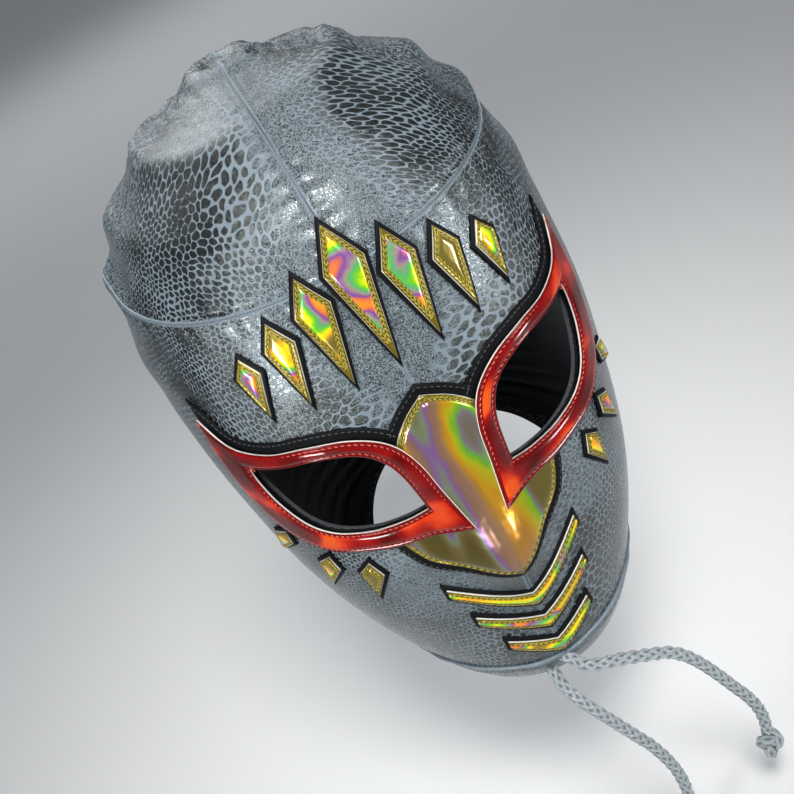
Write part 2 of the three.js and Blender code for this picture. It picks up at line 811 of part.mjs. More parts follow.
// A closed wall over a grid. point(u, v, inner) gives the outer and inner faces, for u and v from
// 0 to 1. Cells that close up to nothing are left out.
function wall(columns, rows, point) {
  const positions = [];
  for (const inner of [false, true]) {
    for (let j = 0; j <= rows; j += 1) {
      for (let i = 0; i <= columns; i += 1) {
        positions.push(...point(i / columns, j / rows, inner).toArray());
      }
    }
  }
  const layer = (columns + 1) * (rows + 1);
  const at = (i, j, inner) => (inner ? layer : 0) + j * (columns + 1) + i;
  const index = [];
  const quad = (a, b, c, d) => index.push(a, b, c, a, c, d);
  for (let j = 0; j < rows; j += 1) {
    for (let i = 0; i < columns; i += 1) {
      quad(at(i, j, false), at(i, j + 1, false), at(i + 1, j + 1, false), at(i + 1, j, false));
      quad(at(i, j, true), at(i + 1, j, true), at(i + 1, j + 1, true), at(i, j + 1, true));
    }
  }
  for (let i = 0; i < columns; i += 1) {
    quad(at(i, 0, false), at(i + 1, 0, false), at(i + 1, 0, true), at(i, 0, true));
    quad(at(i, rows, true), at(i + 1, rows, true), at(i + 1, rows, false), at(i, rows, false));
  }
  for (let j = 0; j < rows; j += 1) {
    quad(at(0, j, true), at(0, j + 1, true), at(0, j + 1, false), at(0, j, false));
    quad(at(columns, j, false), at(columns, j + 1, false), at(columns, j + 1, true), at(columns, j, true));
  }
  const geometry = new THREE.BufferGeometry();
  geometry.setAttribute("position", new THREE.BufferAttribute(new Float32Array(positions), 3));
  geometry.setIndex(index);
  return withoutSlivers(mergeVertices(geometry, 1e-4));
}

function withoutSlivers(geometry) {
  const source = geometry.index.array;
  const kept = [];
  for (let i = 0; i < source.length; i += 3) {
    const [a, b, c] = [source[i], source[i + 1], source[i + 2]];
    if (a !== b && b !== c && c !== a) kept.push(a, b, c);
  }
  geometry.setIndex(kept);
  return geometry;
}

// Turns a piece made for the +X side into the -X side's, with its faces still outwards.
function turnFaces(geometry) {
  const index = geometry.index.array;
  for (let i = 0; i < index.length; i += 3) {
    [index[i + 1], index[i + 2]] = [index[i + 2], index[i + 1]];
  }
  return geometry;
}

function sideWall(side, columns, rows, point) {
  const geometry = wall(columns, rows, (u, v, inner) => {
    const place = point(u, v, inner);
    place.x = side * Math.max(side * place.x, 0.5 * SEAM_GAP);
    return place;
  });
  return side > 0 ? geometry : turnFaces(geometry);
}

// Panel columns lie closer together over the face. Both panels share them, so their seam matches.
function columnShare(u) {
  return COLUMN_EASE * u + (1 - COLUMN_EASE) * u ** 2;
}

// Seams leave a small share of a row between two panels, and the bindings start below the seam.
const SEAM_ROWS = 0.02;
const BINDING_START = 0.05;

const SEAM_BACK_ANGLE = backAngle(crownSeamRow(Math.PI), 0.5 * SEAM_GAP);

// The crown has one more column than the face: it closes the back above the opening.
function crownPanel(side) {
  return sideWall(side, PANEL_COLUMNS + 1, CROWN_ROWS, (u, v, inner) => {
    const share = (u * (PANEL_COLUMNS + 1)) / PANEL_COLUMNS;
    const turn = share > 1 ? Math.PI : SEAM_BACK_ANGLE * columnShare(share);
    return cloth(side * turn, v * (crownSeamRow(turn) - SEAM_ROWS), inner ? -CLOTH : 0);
  });
}

function facePanel(side) {
  const levels = FACE_LEVELS.length - 1;
  const plain = sideWall(side, PANEL_COLUMNS, levels, (u, v, inner) => {
    const top = crownSeamRow(SEAM_BACK_ANGLE * columnShare(u)) + SEAM_ROWS;
    const row = top + FACE_LEVELS[Math.round(v * levels)] * (LAST_ROW - top);
    const angle = columnShare(u) * backAngle(row, 0.5 * SEAM_GAP);
    return cloth(side * angle, row, inner ? -CLOTH : 0);
  });
  const reach = 6 * CLOTH;
  const hole = bend(flatPiece(eyeHoleOutline(side), [], -reach, 2 * reach), CUTTER_FACETS);
  return toGeometry(toSolid(plain).subtract(toSolid(hole)));
}

function hemBand(side) {
  const start = rowAt(HEM_LEVEL - HEM_WIDTH);
  return sideWall(side, HEM_COLUMNS, 2, (u, v, inner) => {
    const row = start + v * (LAST_ROW - start);
    const angle = side * u * backAngle(row, 0);
    return cloth(angle, row, inner ? LAYER_GAP : LAYER_GAP + HEM_THICKNESS);
  });
}

// The binding lies in the opening, along the cloth's edge.
function backBinding(side) {
  const start = crownSeamRow(Math.PI) + BINDING_START;
  const lift = 0.5 * (BINDING_THICKNESS - CLOTH);
  return sideWall(side, 1, BINDING_ROWS, (u, v, inner) => {
    const row = start + v * (LAST_ROW - start);
    const angle = side * backAngle(row, -0.5 * SEAM_GAP - u * BINDING_WIDTH);
    return cloth(angle, row, inner ? lift - BINDING_THICKNESS : lift);
  });
}

function tube(points, diameter, sides, steps) {
  const section = new THREE.Shape();
  section.absarc(0, 0, diameter / 2, 0, 2 * Math.PI, false);
  const rim = new THREE.Shape(section.getSpacedPoints(sides).slice(0, -1));
  const path = new THREE.CatmullRomCurve3(points);
  return new THREE.ExtrudeGeometry(rim, { steps, bevelEnabled: false, extrudePath: path });
}

// The lace runs from side to side over the bindings.
function backLace() {
  const start = rowAt(CROWN_SEAM - CROWN_SEAM_LIFT + HEM_WIDTH);
  const end = rowAt(HEM_LEVEL - 2 * HEM_WIDTH);
  const height = LAYER_GAP + 0.5 * BINDING_THICKNESS + 0.7 * LACE_DIAMETER;
  const points = [];
  for (let i = 0; i <= LACE_CROSSINGS; i += 1) {
    const row = start + (i / LACE_CROSSINGS) * (end - start);
    const side = i % 2 === 0 ? 1 : -1;
    points.push(cloth(side * backAngle(row, BINDING_WIDTH), row, height));
  }
  return tube(points, LACE_DIAMETER, LACE_SIDES, 3 * LACE_CROSSINGS);
}

function vectors(points) {
  return points.map((point) => new THREE.Vector3(...point));
}

function tieCord(route) {
  return tube(vectors(route), CORD_DIAMETER, CORD_SIDES, CORD_STEPS);
}

// The knot closes the cord's end: a short round lump in line with the last stretch.
function tieKnot(route) {
  const points = vectors(route);
  const end = points[points.length - 1];
  const direction = end.clone().sub(points[points.length - 2]).normalize();
  const profile = [
    new THREE.Vector2(0, 0),
    new THREE.Vector2(0.3 * KNOT_WIDTH, 0),
    new THREE.Vector2(0.5 * KNOT_WIDTH, 0.25 * KNOT_LENGTH),
    new THREE.Vector2(0.46 * KNOT_WIDTH, 0.6 * KNOT_LENGTH),
    new THREE.Vector2(0.28 * KNOT_WIDTH, 0.92 * KNOT_LENGTH),
    new THREE.Vector2(0, KNOT_LENGTH),
  ];
  const geometry = new THREE.LatheGeometry(profile, CORD_SIDES);
  const turn = new THREE.Quaternion().setFromUnitVectors(new THREE.Vector3(0, 1, 0), direction);
  geometry.applyQuaternion(turn);
  const start = end.clone().addScaledVector(direction, CORD_GAP);
  return geometry.translate(start.x, start.y, start.z);
}

const mask = new THREE.Group();

function add(name, geometry, finish) {
  const mesh = new THREE.Mesh(geometry, new THREE.MeshStandardMaterial(COLOURS[finish]));
  mesh.name = name;
  mask.add(mesh);
}

for (const [side, word] of [[-1, "left"], [1, "right"]]) {
  add(`crown_panel_${word}`, crownPanel(side), "cloth");
  add(`face_panel_${word}`, facePanel(side), "cloth");
  add(`hem_band_${word}`, hemBand(side), "cloth");
  add(`back_binding_${word}`, backBinding(side), "black");
  add(`eye_backing_${word}`, eyeBacking(side), "black");
  add(`eye_trim_${word}`, eyeTrim(side), "red");
  CHEEK_PIECES.forEach((row, i) => {
    add(`cheek_backing_${word}_${i + 1}`, backingUnder(cheekCorners(side, row), FACETS), "black");
    add(`cheek_piece_${word}_${i + 1}`, vinylOn(cheekCorners(side, row), FACETS), "gold");
  });
}
BROW_PIECES.forEach((row, i) => {
  add(`brow_backing_${i + 1}`, backingUnder(browCorners(row), FACETS), "black");
  add(`brow_piece_${i + 1}`, vinylOn(browCorners(row), FACETS), "gold");
});
CHIN_PIECES.forEach((row, i) => {
  add(`chin_backing_${i + 1}`, backingUnder(chinCorners(i), CHIN_FACETS), "black");
  add(`chin_chevron_${i + 1}`, vinylOn(chinCorners(i), CHIN_FACETS), "gold");
});
add("nose_backing", noseBacking(), "black");
add("nose_piece", nosePiece(), "gold");
add("back_lace", backLace(), "cord");
add("tie_cord_left", tieCord(CORD_LEFT), "cord");
add("tie_cord_right", tieCord(CORD_RIGHT), "cord");
add("tie_knot_left", tieKnot(CORD_LEFT), "cord");
add("tie_knot_right", tieKnot(CORD_RIGHT), "cord");

export default mask;
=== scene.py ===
"""A luchador mask: a full wrestling mask of scale-print cloth with vinyl trims and two tie cords.

Sizes are millimetres, and a mesh is turned to metres when it is made. +Z is up, the face looks
along -Y and +X is the viewer's right. Flat pattern points are (across, along): millimetres round
the face from its middle, and down the front from the top of the crown.
"""

import math

import bmesh
import bpy
import numpy as np
from mathutils import Matrix, Vector


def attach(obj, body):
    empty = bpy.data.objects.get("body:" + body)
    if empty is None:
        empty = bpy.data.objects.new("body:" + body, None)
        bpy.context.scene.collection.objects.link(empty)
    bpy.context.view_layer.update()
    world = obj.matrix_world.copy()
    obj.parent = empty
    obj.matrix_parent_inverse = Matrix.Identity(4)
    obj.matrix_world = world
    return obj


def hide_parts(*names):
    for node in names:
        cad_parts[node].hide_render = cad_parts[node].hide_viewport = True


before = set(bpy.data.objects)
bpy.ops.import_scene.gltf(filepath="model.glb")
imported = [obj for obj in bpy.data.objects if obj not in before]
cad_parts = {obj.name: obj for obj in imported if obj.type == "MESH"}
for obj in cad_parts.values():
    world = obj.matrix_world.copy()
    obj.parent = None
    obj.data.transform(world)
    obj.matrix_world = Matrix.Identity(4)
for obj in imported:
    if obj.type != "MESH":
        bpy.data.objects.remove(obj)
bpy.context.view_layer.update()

METRES = 0.001
SIDES = ((-1, "left"), (1, "right"))

# The worn shape
HALF_WIDTH = 77
FRONT_DEPTH = 90
BACK_DEPTH = 90
CROWN_HEIGHT = 86
JAW_DROP = 127
HEM_SLOPE = 25
NOSE_RISE = 15.5
NOSE_HALF_WIDTH = 12.5
CLOTH = 1.4

# Seams and hem
CROWN_SEAM = 107
CROWN_SEAM_LIFT = 30
OPENING_HALF = 8
HEM_WIDTH = 16
HEM_STITCH = 13.6
SEAM_GAP = 0.3
# Half the gap between two panels, where they meet at the middle
JOIN_GAP = 0.01

# Eye trims, nose piece, kites and chevrons
EYE_LEVEL = 136.5
EYE_HEIGHT = 66
EYE_SPAN = 70
EYE_INSET = 4.2
EYE_RIM = 5.5
EYE_UPPER_BORDER = 3.4
EYE_LOWER_BORDER = 1.3
NOSE_TOP = 152
NOSE_LENGTH = 69
NOSE_PIECE_HALF = 27
BROW_FOOT = 139
BROW_HEIGHT = 47
BROW_WIDTH = 13
BROW_PITCH = 14
CHEEK_HEIGHT = 21
CHEEK_WIDTH = 8.5
CHEEK_GAP = 5
CHIN_HALF_WIDTH = 23
CHIN_BAND = 7
CHIN_MARGIN = 4
CHEVRON_TAPER = 0.7
PIECE_BORDER = 1.4
KITE_SHOULDER = 0.2
# How far the nose piece stays from the eye openings, under the red trims
EYE_COVER = 2.4
# How wide and how high the nose piece's crease is
CREASE_WIDTH = 0.8
CREASE_RISE = 0.7

# Heights of the layers over the cloth
BACKING_BASE = 0.1
BACKING_TOP = 1.0
GOLD_BASE = 0.95
RED_BASE = 2.0

# Cords, lace and chain stitching
CORD_DIAMETER = 4.5
# How far each cord's start is tucked into the hem
CORD_TUCK = 6.5
KNOT_LENGTH = 14
BRAID_STRANDS = 4
BRAID_PITCH = 9.0
BRAID_RELIEF = 0.34
LACE_DIAMETER = 2.6
LACE_CROSSINGS = 9
# How deep the lace dips into an eyelet, and how high it stands between two
LACE_DIP = 1.2
LACE_STAND = 1.8
EYELET_INSET = 3.6
EYELET_RADIUS = 1.75
EYELET_THREAD = 0.5
EYELET_TURNS = 14
CHAIN_PITCH = 1.65
CHAIN_INSET = 1.15
# How far the other stitches stay from their pieces' edges
TRIM_STITCH_INSET = 1.25
BACKING_STITCH_INSET = 0.95
NOSE_STITCH_INSET = 1.1

# Routes of the two tie cords, in metres, from the hem at the chin to their knots
CORD_RIGHT = [
    (0.0008, -0.0774, -0.2278),
    (0.0030, -0.0806, -0.2296),
    (0.0082, -0.0828, -0.2314),
    (0.0150, -0.0836, -0.2334),
    (0.0220, -0.0840, -0.2366),
    (0.0274, -0.0840, -0.2394),
    (0.0322, -0.0840, -0.2424),
    (0.0366, -0.0840, -0.2474),
    (0.0404, -0.0840, -0.2542),
    (0.0442, -0.0838, -0.2633),
    (0.0478, -0.0835, -0.2732),
    (0.0505, -0.0832, -0.2806),
    (0.0522, -0.0830, -0.2876),
    (0.0526, -0.0827, -0.2946),
    (0.0516, -0.0823, -0.3018),
]
CORD_LEFT = [
    (-0.0075, -0.0716, -0.2338),
    (-0.0072, -0.0754, -0.2374),
    (-0.0054, -0.0788, -0.2418),
    (-0.0030, -0.0810, -0.2470),
    (-0.0006, -0.0820, -0.2522),
    (0.0019, -0.0822, -0.2582),
    (0.0044, -0.0822, -0.2644),
    (0.0069, -0.0822, -0.2706),
    (0.0096, -0.0820, -0.2774),
    (0.0117, -0.0818, -0.2846),
    (0.0132, -0.0815, -0.2919),
    (0.0139, -0.0813, -0.2986),
    (0.0138, -0.0811, -0.3054),
    (0.0127, -0.0810, -0.3122),
    (0.0108, -0.0808, -0.3192),
]


def table(columns, rows):
    """A short table as one array for each named column."""
    return dict(zip(columns, np.array(rows, dtype=float).T))


def unit(vectors):
    """Vectors brought to length 1."""
    return vectors / np.maximum(np.linalg.norm(vectors, axis=-1, keepdims=True), 1e-9)


def cubic(s, start, start_slope, end, end_slope):
    """The cubic between two values with the given slopes, at a share s of the way."""
    return (
        (2 * s**3 - 3 * s**2 + 1) * start
        + (s**3 - 2 * s**2 + s) * start_slope
        + (3 * s**2 - 2 * s**3) * end
        + (s**3 - s**2) * end_slope
    )


# The crown's rows follow a rounded dome. Angles are measured at its centre, from the top.
CROWN_ANGLES = np.radians([0, 12, 24, 36, 48, 60, 72, 84])
CROWN_SHARE = 0.905
CROWN_FRONT = 0.96
CROWN_SQUARENESS = 0.12
CROWN_FULLNESS = 0.92

# Rows below the crown: shares of JAW_DROP, HEM_SLOPE, HALF_WIDTH, FRONT_DEPTH and BACK_DEPTH.
# square is the power of the rounded outline.
LOWER_ROWS = table(
    ["down", "slope", "half", "front", "back", "square"],
    [
        [0.0, 0.0, 1.0, 0.99, 1.0, 2.15],
        [0.143, 0.0, 1.0, 1.0, 0.98, 2.2],
        [0.292, 0.04, 0.99, 0.99, 0.94, 2.2],
        [0.436, 0.12, 0.965, 0.955, 0.88, 2.2],
        [0.579, 0.25, 0.93, 0.935, 0.825, 2.15],
        [0.717, 0.42, 0.875, 0.92, 0.775, 2.1],
        [0.84, 0.62, 0.8, 0.875, 0.74, 2.05],
        [0.937, 0.83, 0.7, 0.82, 0.72, 2.0],
        [1.0, 1.0, 0.605, 0.725, 0.71, 2.0],
    ],
)

# Soft forms of the face under the cloth: shares of HALF_WIDTH, of the height and of NOSE_RISE
FACE_FORMS = [
    # across, down, wide, tall, rise
    (0, 0.77, 0.325, 0.068, 0.33),
    (0.45, 0.64, 0.215, 0.073, -0.33),
    (-0.45, 0.64, 0.215, 0.073, -0.33),
    (0, 0.9, 0.28, 0.07, 0.12),
    (0, 1.03, 0.25, 0.065, 0.15),
]
NOSE_BROW = 0.54
NOSE_TIP = 0.818
NOSE_BROW_SOFTNESS = 0.043
NOSE_TIP_SOFTNESS = 0.028
NOSE_ROOT = 0.28

# Gathers drawn in by the lace, as shares of CROWN_SEAM, GATHER_RISE, GATHER_WIDTH, GATHER_REACH
GATHER_RISE = 4.5
GATHER_WIDTH = 7
GATHER_REACH = 120
GATHERS = [
    # side, along, lean, rise, width, reach
    (-1, 0.1, 0.0, 0.9, 1.0, 0.8),
    (-1, 0.36, 0.1, 0.75, 0.8, 1.1),
    (-1, 0.56, 0.13, 1.0, 0.85, 1.2),
    (-1, 0.76, 0.11, 1.1, 0.8, 1.15),
    (-1, 0.98, 0.12, 0.8, 0.9, 1.0),
    (-1, 1.25, 0.05, 0.7, 1.1, 0.8),
    (1, 0.1, 0.0, 0.9, 1.0, 0.8),
    (1, 0.36, 0.08, 0.75, 0.8, 1.2),
    (1, 0.56, 0.12, 1.0, 0.85, 1.1),
    (1, 0.76, 0.09, 1.1, 0.8, 1.25),
    (1, 0.98, 0.1, 0.8, 0.9, 1.05),
    (1, 1.25, 0.04, 0.7, 1.1, 0.8),
]

# Puffs of cloth between the gathers at the sides: degrees round from the face, millimetres down
# from the crown's top, and their rise and half-size in millimetres
PUFFS = [
    # angle, along, rise, size
    (-108, 50, 2.0, 9),
    (-97, 77, 2.2, 8),
    (-91, 93, 2.4, 7),
    (101, 48, 1.6, 9),
    (88, 73, 2.4, 8),
    (82, 87, 2.2, 7),
    (-150, 14, 2.6, 12),
    (150, 16, 2.4, 12),
]

# Eye outlines of the +X side: shares of EYE_SPAN from the inner tip and EYE_HEIGHT from the outer
TRIM_UPPER_EDGE = [
    (1.0, 0.0),
    (0.87, 0.155),
    (0.67, 0.222),
    (0.46, 0.235),
    (0.28, 0.275),
    (0.145, 0.375),
    (0.075, 0.53),
    (0.04, 0.73),
    (0.0, 0.975),
]
TRIM_LOWER_EDGE = [
    (0.0, 0.975),
    (0.16, 0.98),
    (0.33, 1.0),
    (0.5, 0.982),
    (0.68, 0.93),
    (0.835, 0.8),
    (0.94, 0.6),
    (1.0, 0.35),
    (1.012, 0.15),
    (1.0, 0.0),
]
HOLE_UPPER_EDGE = [
    (0.82, 0.285),
    (0.63, 0.303),
    (0.45, 0.31),
    (0.29, 0.355),
    (0.2, 0.445),
    (0.15, 0.59),
    (0.122, 0.81),
]
HOLE_LOWER_EDGE = [
    (0.122, 0.81),
    (0.25, 0.862),
    (0.41, 0.88),
    (0.58, 0.83),
    (0.7, 0.72),
    (0.785, 0.54),
    (0.82, 0.38),
    (0.82, 0.285),
]

# Half of the nose piece, in shares of NOSE_PIECE_HALF and NOSE_LENGTH
NOSE_EDGE = [
    (0.0, 0.0),
    (0.28, 0.075),
    (0.5, 0.19),
    (0.62, 0.4),
    (0.78, 0.6),
    (1.0, 0.74),
    (0.8, 0.86),
    (0.42, 0.93),
    (0.0, 1.0),
]

# place from the centre, and shares of BROW_HEIGHT and BROW_WIDTH
BROW_PIECES = [
    (-3, 0.44, 0.7),
    (-2, 0.6, 0.78),
    (-1, 0.78, 0.88),
    (0, 1.0, 1.0),
    (1, 0.78, 0.88),
    (2, 0.6, 0.78),
    (3, 0.44, 0.7),
]

# share of EYE_SPAN where the kite hangs, share of CHEEK_HEIGHT, and its turn in degrees
CHEEK_PIECES = [
    (0.52, 0.82, -14),
    (0.7, 0.92, -28),
    (0.87, 1.0, -44),
]

# share of CHIN_HALF_WIDTH, and how steeply the arms rise
CHIN_PIECES = [
    (1.0, 0.62),
    (0.84, 0.6),
    (0.62, 0.56),
]

# The camera
CAMERA_PLACE = (-10.32, -424.28, 60.42)
CAMERA_TARGET = (-5.14, -0.16, -137.36)
CAMERA_ROLL = math.radians(-30.5)
CAMERA_LENS = 54.48
SENSOR = 36


def worn_rows():
    """All rows from the crown's top to the hem, one array for each column."""
    reach = np.sin(CROWN_ANGLES) ** CROWN_FULLNESS
    crown = {
        "down": CROWN_SHARE * CROWN_HEIGHT * (1 - np.cos(CROWN_ANGLES)),
        "slope": 0 * reach,
        "half": HALF_WIDTH * reach,
        "front": CROWN_FRONT * FRONT_DEPTH * reach,
        "back": BACK_DEPTH * reach,
        "square": 2 + CROWN_SQUARENESS * reach,
    }
    lower = {
        "down": CROWN_HEIGHT + JAW_DROP * LOWER_ROWS["down"],
        "slope": HEM_SLOPE * LOWER_ROWS["slope"],
        "half": HALF_WIDTH * LOWER_ROWS["half"],
        "front": FRONT_DEPTH * LOWER_ROWS["front"],
        "back": BACK_DEPTH * LOWER_ROWS["back"],
        "square": LOWER_ROWS["square"],
    }
    return {name: np.concatenate([crown[name], lower[name]]) for name in crown}


ROWS = worn_rows()
SLOPES = {name: np.gradient(values) for name, values in ROWS.items()}
LAST_ROW = len(ROWS["down"]) - 1


def column(name, row):
    """One column of the rows at places between them: a cubic whose slopes come from neighbours."""
    place = np.clip(row, 0, LAST_ROW)
    index = np.minimum(np.floor(place).astype(int), LAST_ROW - 1)
    values, slopes = ROWS[name], SLOPES[name]
    return cubic(place - index, values[index], slopes[index], values[index + 1], slopes[index + 1])


def bell(value, centre, width):
    """The bell curve exp(-((value - centre) / width) squared)."""
    return np.exp(-(((value - centre) / width) ** 2))


def ramp_up(value, centre, width):
    """A soft step from 0 to 1 round the centre."""
    return 1 / (1 + np.exp(-(value - centre) / width))


def face_relief(x, down):
    """How far the cloth stands forward: a nose ridge between two soft steps, plus the bells of
    FACE_FORMS."""
    height = CROWN_HEIGHT + JAW_DROP
    brow = ramp_up(down, NOSE_BROW * height, NOSE_BROW_SOFTNESS * height)
    tip = ramp_up(-down, -NOSE_TIP * height, NOSE_TIP_SOFTNESS * height)
    growth = np.clip((down / height - NOSE_BROW) / (NOSE_TIP - NOSE_BROW), 0, 1)
    rise = NOSE_RISE * bell(x, 0, NOSE_HALF_WIDTH) * brow * tip * (NOSE_ROOT + (1 - NOSE_ROOT) * growth)
    for across, low, wide, tall, form in FACE_FORMS:
        rise = rise + form * NOSE_RISE * bell(x, across * HALF_WIDTH, wide * HALF_WIDTH) * bell(
            down, low * height, tall * height
        )
    return rise


def skin(angle, row):
    """The cloth's outer surface: each row is the rounded outline |x/half|^n + |y/depth|^n = 1,
    with the face's relief pushed forward where it looks to the front."""
    angle, row = np.broadcast_arrays(angle, row)
    cos, sin = np.cos(angle), np.sin(angle)
    half = np.maximum(column("half", row), 1e-6)
    depth = np.maximum(np.where(cos > 0, column("front", row), column("back", row)), 1e-6)
    square = column("square", row)
    reach = (np.abs(cos / depth) ** square + np.abs(sin / half) ** square) ** (-1 / square)
    down = column("down", row) + column("slope", row) * cos
    x = reach * sin
    forward = face_relief(x, down) * np.clip(3 * cos, 0, 1)
    return np.stack([x, -reach * cos - forward, CLOTH - down], axis=-1)


def outward(angle, row):
    """The skin's unit normal, from its differences round and along."""
    step = 1e-3
    angle, row = np.broadcast_arrays(angle, row)
    low = np.minimum(row + step, LAST_ROW)
    across = skin(angle + step, row) - skin(angle - step, row)
    along = skin(angle, low) - skin(angle, np.maximum(row - step, 0))
    normal = np.cross(along, across)
    normal[row < 0.02] = (0, 0, 1)
    return unit(normal)


# The distance down the front from the crown's top to each small step of the rows
FRONT_ROWS = np.linspace(0, LAST_ROW, 601)
FRONT_FORWARD = np.diff(column("front", FRONT_ROWS))
FRONT_FALL = np.diff(column("down", FRONT_ROWS) + column("slope", FRONT_ROWS))
FRONT_LENGTHS = np.concatenate([[0], np.cumsum(np.hypot(FRONT_FORWARD, FRONT_FALL))])
HEM_LEVEL = FRONT_LENGTHS[-1]


def row_at(along):
    """The row at a distance down the front."""
    return np.interp(along, FRONT_LENGTHS, FRONT_ROWS)


def along_at(row):
    """The distance down the front to a row."""
    return np.interp(row, FRONT_ROWS, FRONT_LENGTHS)


def gather(angle, row):
    """How far the gathers lift the cloth: bells across each ridge, fading with the distance round
    from the back's centre line."""
    angle, row = np.broadcast_arrays(angle, row)
    along = along_at(row)
    back = (math.pi - np.abs(angle)) * 0.5 * (column("half", row) + column("back", row))
    lift = np.zeros(angle.shape)
    for side, start, lean, rise, width, reach in GATHERS:
        ridge = start * CROWN_SEAM + lean * back
        fold = rise * bell(back, 0, reach * GATHER_REACH) * bell(along, ridge, width * GATHER_WIDTH)
        lift = lift + np.where(side * angle > 0, GATHER_RISE * fold, 0)
    return lift


def cloth(angle, row, height):
    """A point of the cloth, height above its outer face."""
    lift = np.asarray(height + gather(angle, row))
    return skin(angle, row) + outward(angle, row) * lift[..., None]


def radius_at(row):
    """The radius that turns millimetres round the face into an angle."""
    return np.maximum(0.5 * (column("half", row) + column("front", row)), 1e-6)


def laid(flat, height):
    """Flat pattern points laid on the face, height above the cloth."""
    row = row_at(flat[..., 1])
    return cloth(flat[..., 0] / radius_at(row), row, height)


def seam_level(angle):
    """The crown seam's distance down the front: it rises towards the back with a cosine."""
    return CROWN_SEAM - 0.5 * CROWN_SEAM_LIFT * (1 - np.cos(angle))


def back_angle(row, extra):
    """The angle of the back opening's edge at a row, moved forward by extra millimetres."""
    return math.pi - np.arcsin((OPENING_HALF + extra) / column("back", row))


# Seams, in millimetres
SEAM_GROOVE = 0.05
SEAM_BULGE = 0.16
SEAM_HALF = 0.9
STITCH_LINE = 2.3
PUCKER_RISE = 0.2
PUCKER_PITCH = 7.3
HEM_FADE = 7
HEM_SINK = 0.35


def seam_relief(distance, along):
    """The relief beside a seam: a narrow groove, a bulge over the turned edges, a dent under the
    stitch line and small puckers that fade outwards."""
    groove = -SEAM_GROOVE * bell(distance, 0, 0.3)
    bulge = SEAM_BULGE * bell(distance, SEAM_HALF, 0.7)
    dent = -0.12 * bell(distance, STITCH_LINE, 0.4)
    wave = np.sin(2 * math.pi * along / PUCKER_PITCH + 1.7 * np.sin(along / 13))
    pucker = PUCKER_RISE * wave * bell(distance, STITCH_LINE + 1.6, 3.2)
    return groove + bulge + dent + pucker


def seam_distances(angle, row):
    """Distances to the middle seam and to the crown seam."""
    along = along_at(row)
    return np.abs(skin(angle, row)[..., 0]), np.abs(along - seam_level(angle))


def worn_relief(angle, row):
    """Fine relief of the cloth: seams, puckers, the puffs at the sides and the small folds that
    run forward from the lace. It fades out and sinks a little under the turned hem."""
    along = along_at(row)
    radius = radius_at(row)
    middle, crown = seam_distances(angle, row)
    relief = seam_relief(middle, along) + seam_relief(crown, angle * radius)
    for degrees, level, rise, size in PUFFS:
        spread = (angle - math.radians(degrees)) * radius
        relief = relief + rise * bell(spread, 0, 1.5 * size) * bell(along, level, size)
    back = (math.pi - np.abs(angle)) * 0.5 * (column("half", row) + column("back", row))
    folds = np.sin(2 * math.pi * (along + 0.1 * back) / 9.5 + 2.3 * np.sin(angle * 5))
    small = np.sin(2 * math.pi * (along - 0.06 * back) / 5.3 + 1.9 * np.sin(angle * 7 + 1))
    fade = bell(back, 0, 62) * np.clip(along / 40, 0, 1)
    relief = relief + (0.75 * folds + 0.45 * small) * fade
    drape = np.sin(along / 17 + 2.2 * angle) * np.sin(along / 29 - 3.1 * angle + 0.6)
    relief = relief + 0.35 * drape * np.clip(along / 30, 0, 1)
    above = np.clip((HEM_LEVEL - HEM_WIDTH - 1 - along) / HEM_FADE, 0, 1)
    return relief * above - HEM_SINK * (1 - above) ** 2


def smooth_line(points, count):
    """Points at equal distances on the smooth curve through the given ones. The curve is a cubic
    between each two, with slopes from their neighbours."""
    points = np.array(points, dtype=float)
    slopes = np.zeros(points.shape)
    slopes[1:-1] = 0.5 * (points[2:] - points[:-2])
    slopes[0] = 0.5 * (points[1] - points[0])
    slopes[-1] = 0.5 * (points[-1] - points[-2])
    s = np.linspace(0, 1, 40, endpoint=False)[None, :, None]
    dense = cubic(s, points[:-1, None], slopes[:-1, None], points[1:, None], slopes[1:, None])
    dense = np.concatenate([dense.reshape(-1, points.shape[1]), points[-1:]])
    return spaced(dense, count)


def lengths_along(line):
    """The distance along a line to each of its points."""
    return np.concatenate([[0], np.cumsum(np.linalg.norm(np.diff(line, axis=0), axis=1))])


def spaced(line, count):
    """count points at equal distances along a line of points."""
    length = lengths_along(line)
    marks = np.linspace(0, length[-1], count)
    return np.stack([np.interp(marks, length, line[:, i]) for i in range(line.shape[1])], axis=1)


def line_length(line):
    return np.linalg.norm(np.diff(line, axis=0), axis=1).sum()


def closed_line(outline):
    """An outline with its first point again at its end."""
    return np.concatenate([outline, outline[:1]])


def mirrored(half):
    """A whole outline from its right half, whose two ends lie on the middle line."""
    return np.concatenate([half, (half * (-1, 1))[::-1][1:-1]])


def grow(outline, amount, longest=2.2):
    """A closed outline moved outwards by amount, which may differ from point to point, with the
    outward directions. Corners are mitred, up to longest times the amount."""
    after = unit(np.roll(outline, -1, axis=0) - outline)
    before = unit(outline - np.roll(outline, 1, axis=0))
    x, y = outline.T
    turn = np.sign(np.sum(x * np.roll(y, -1) - np.roll(x, -1) * y))
    first = turn * np.stack([before[:, 1], -before[:, 0]], axis=1)
    second = turn * np.stack([after[:, 1], -after[:, 0]], axis=1)
    middle = unit(first + second)
    mitre = np.minimum(1 / np.maximum(np.sum(middle * first, axis=1), 0.05), longest)
    return outline + middle * (mitre * amount)[:, None], middle


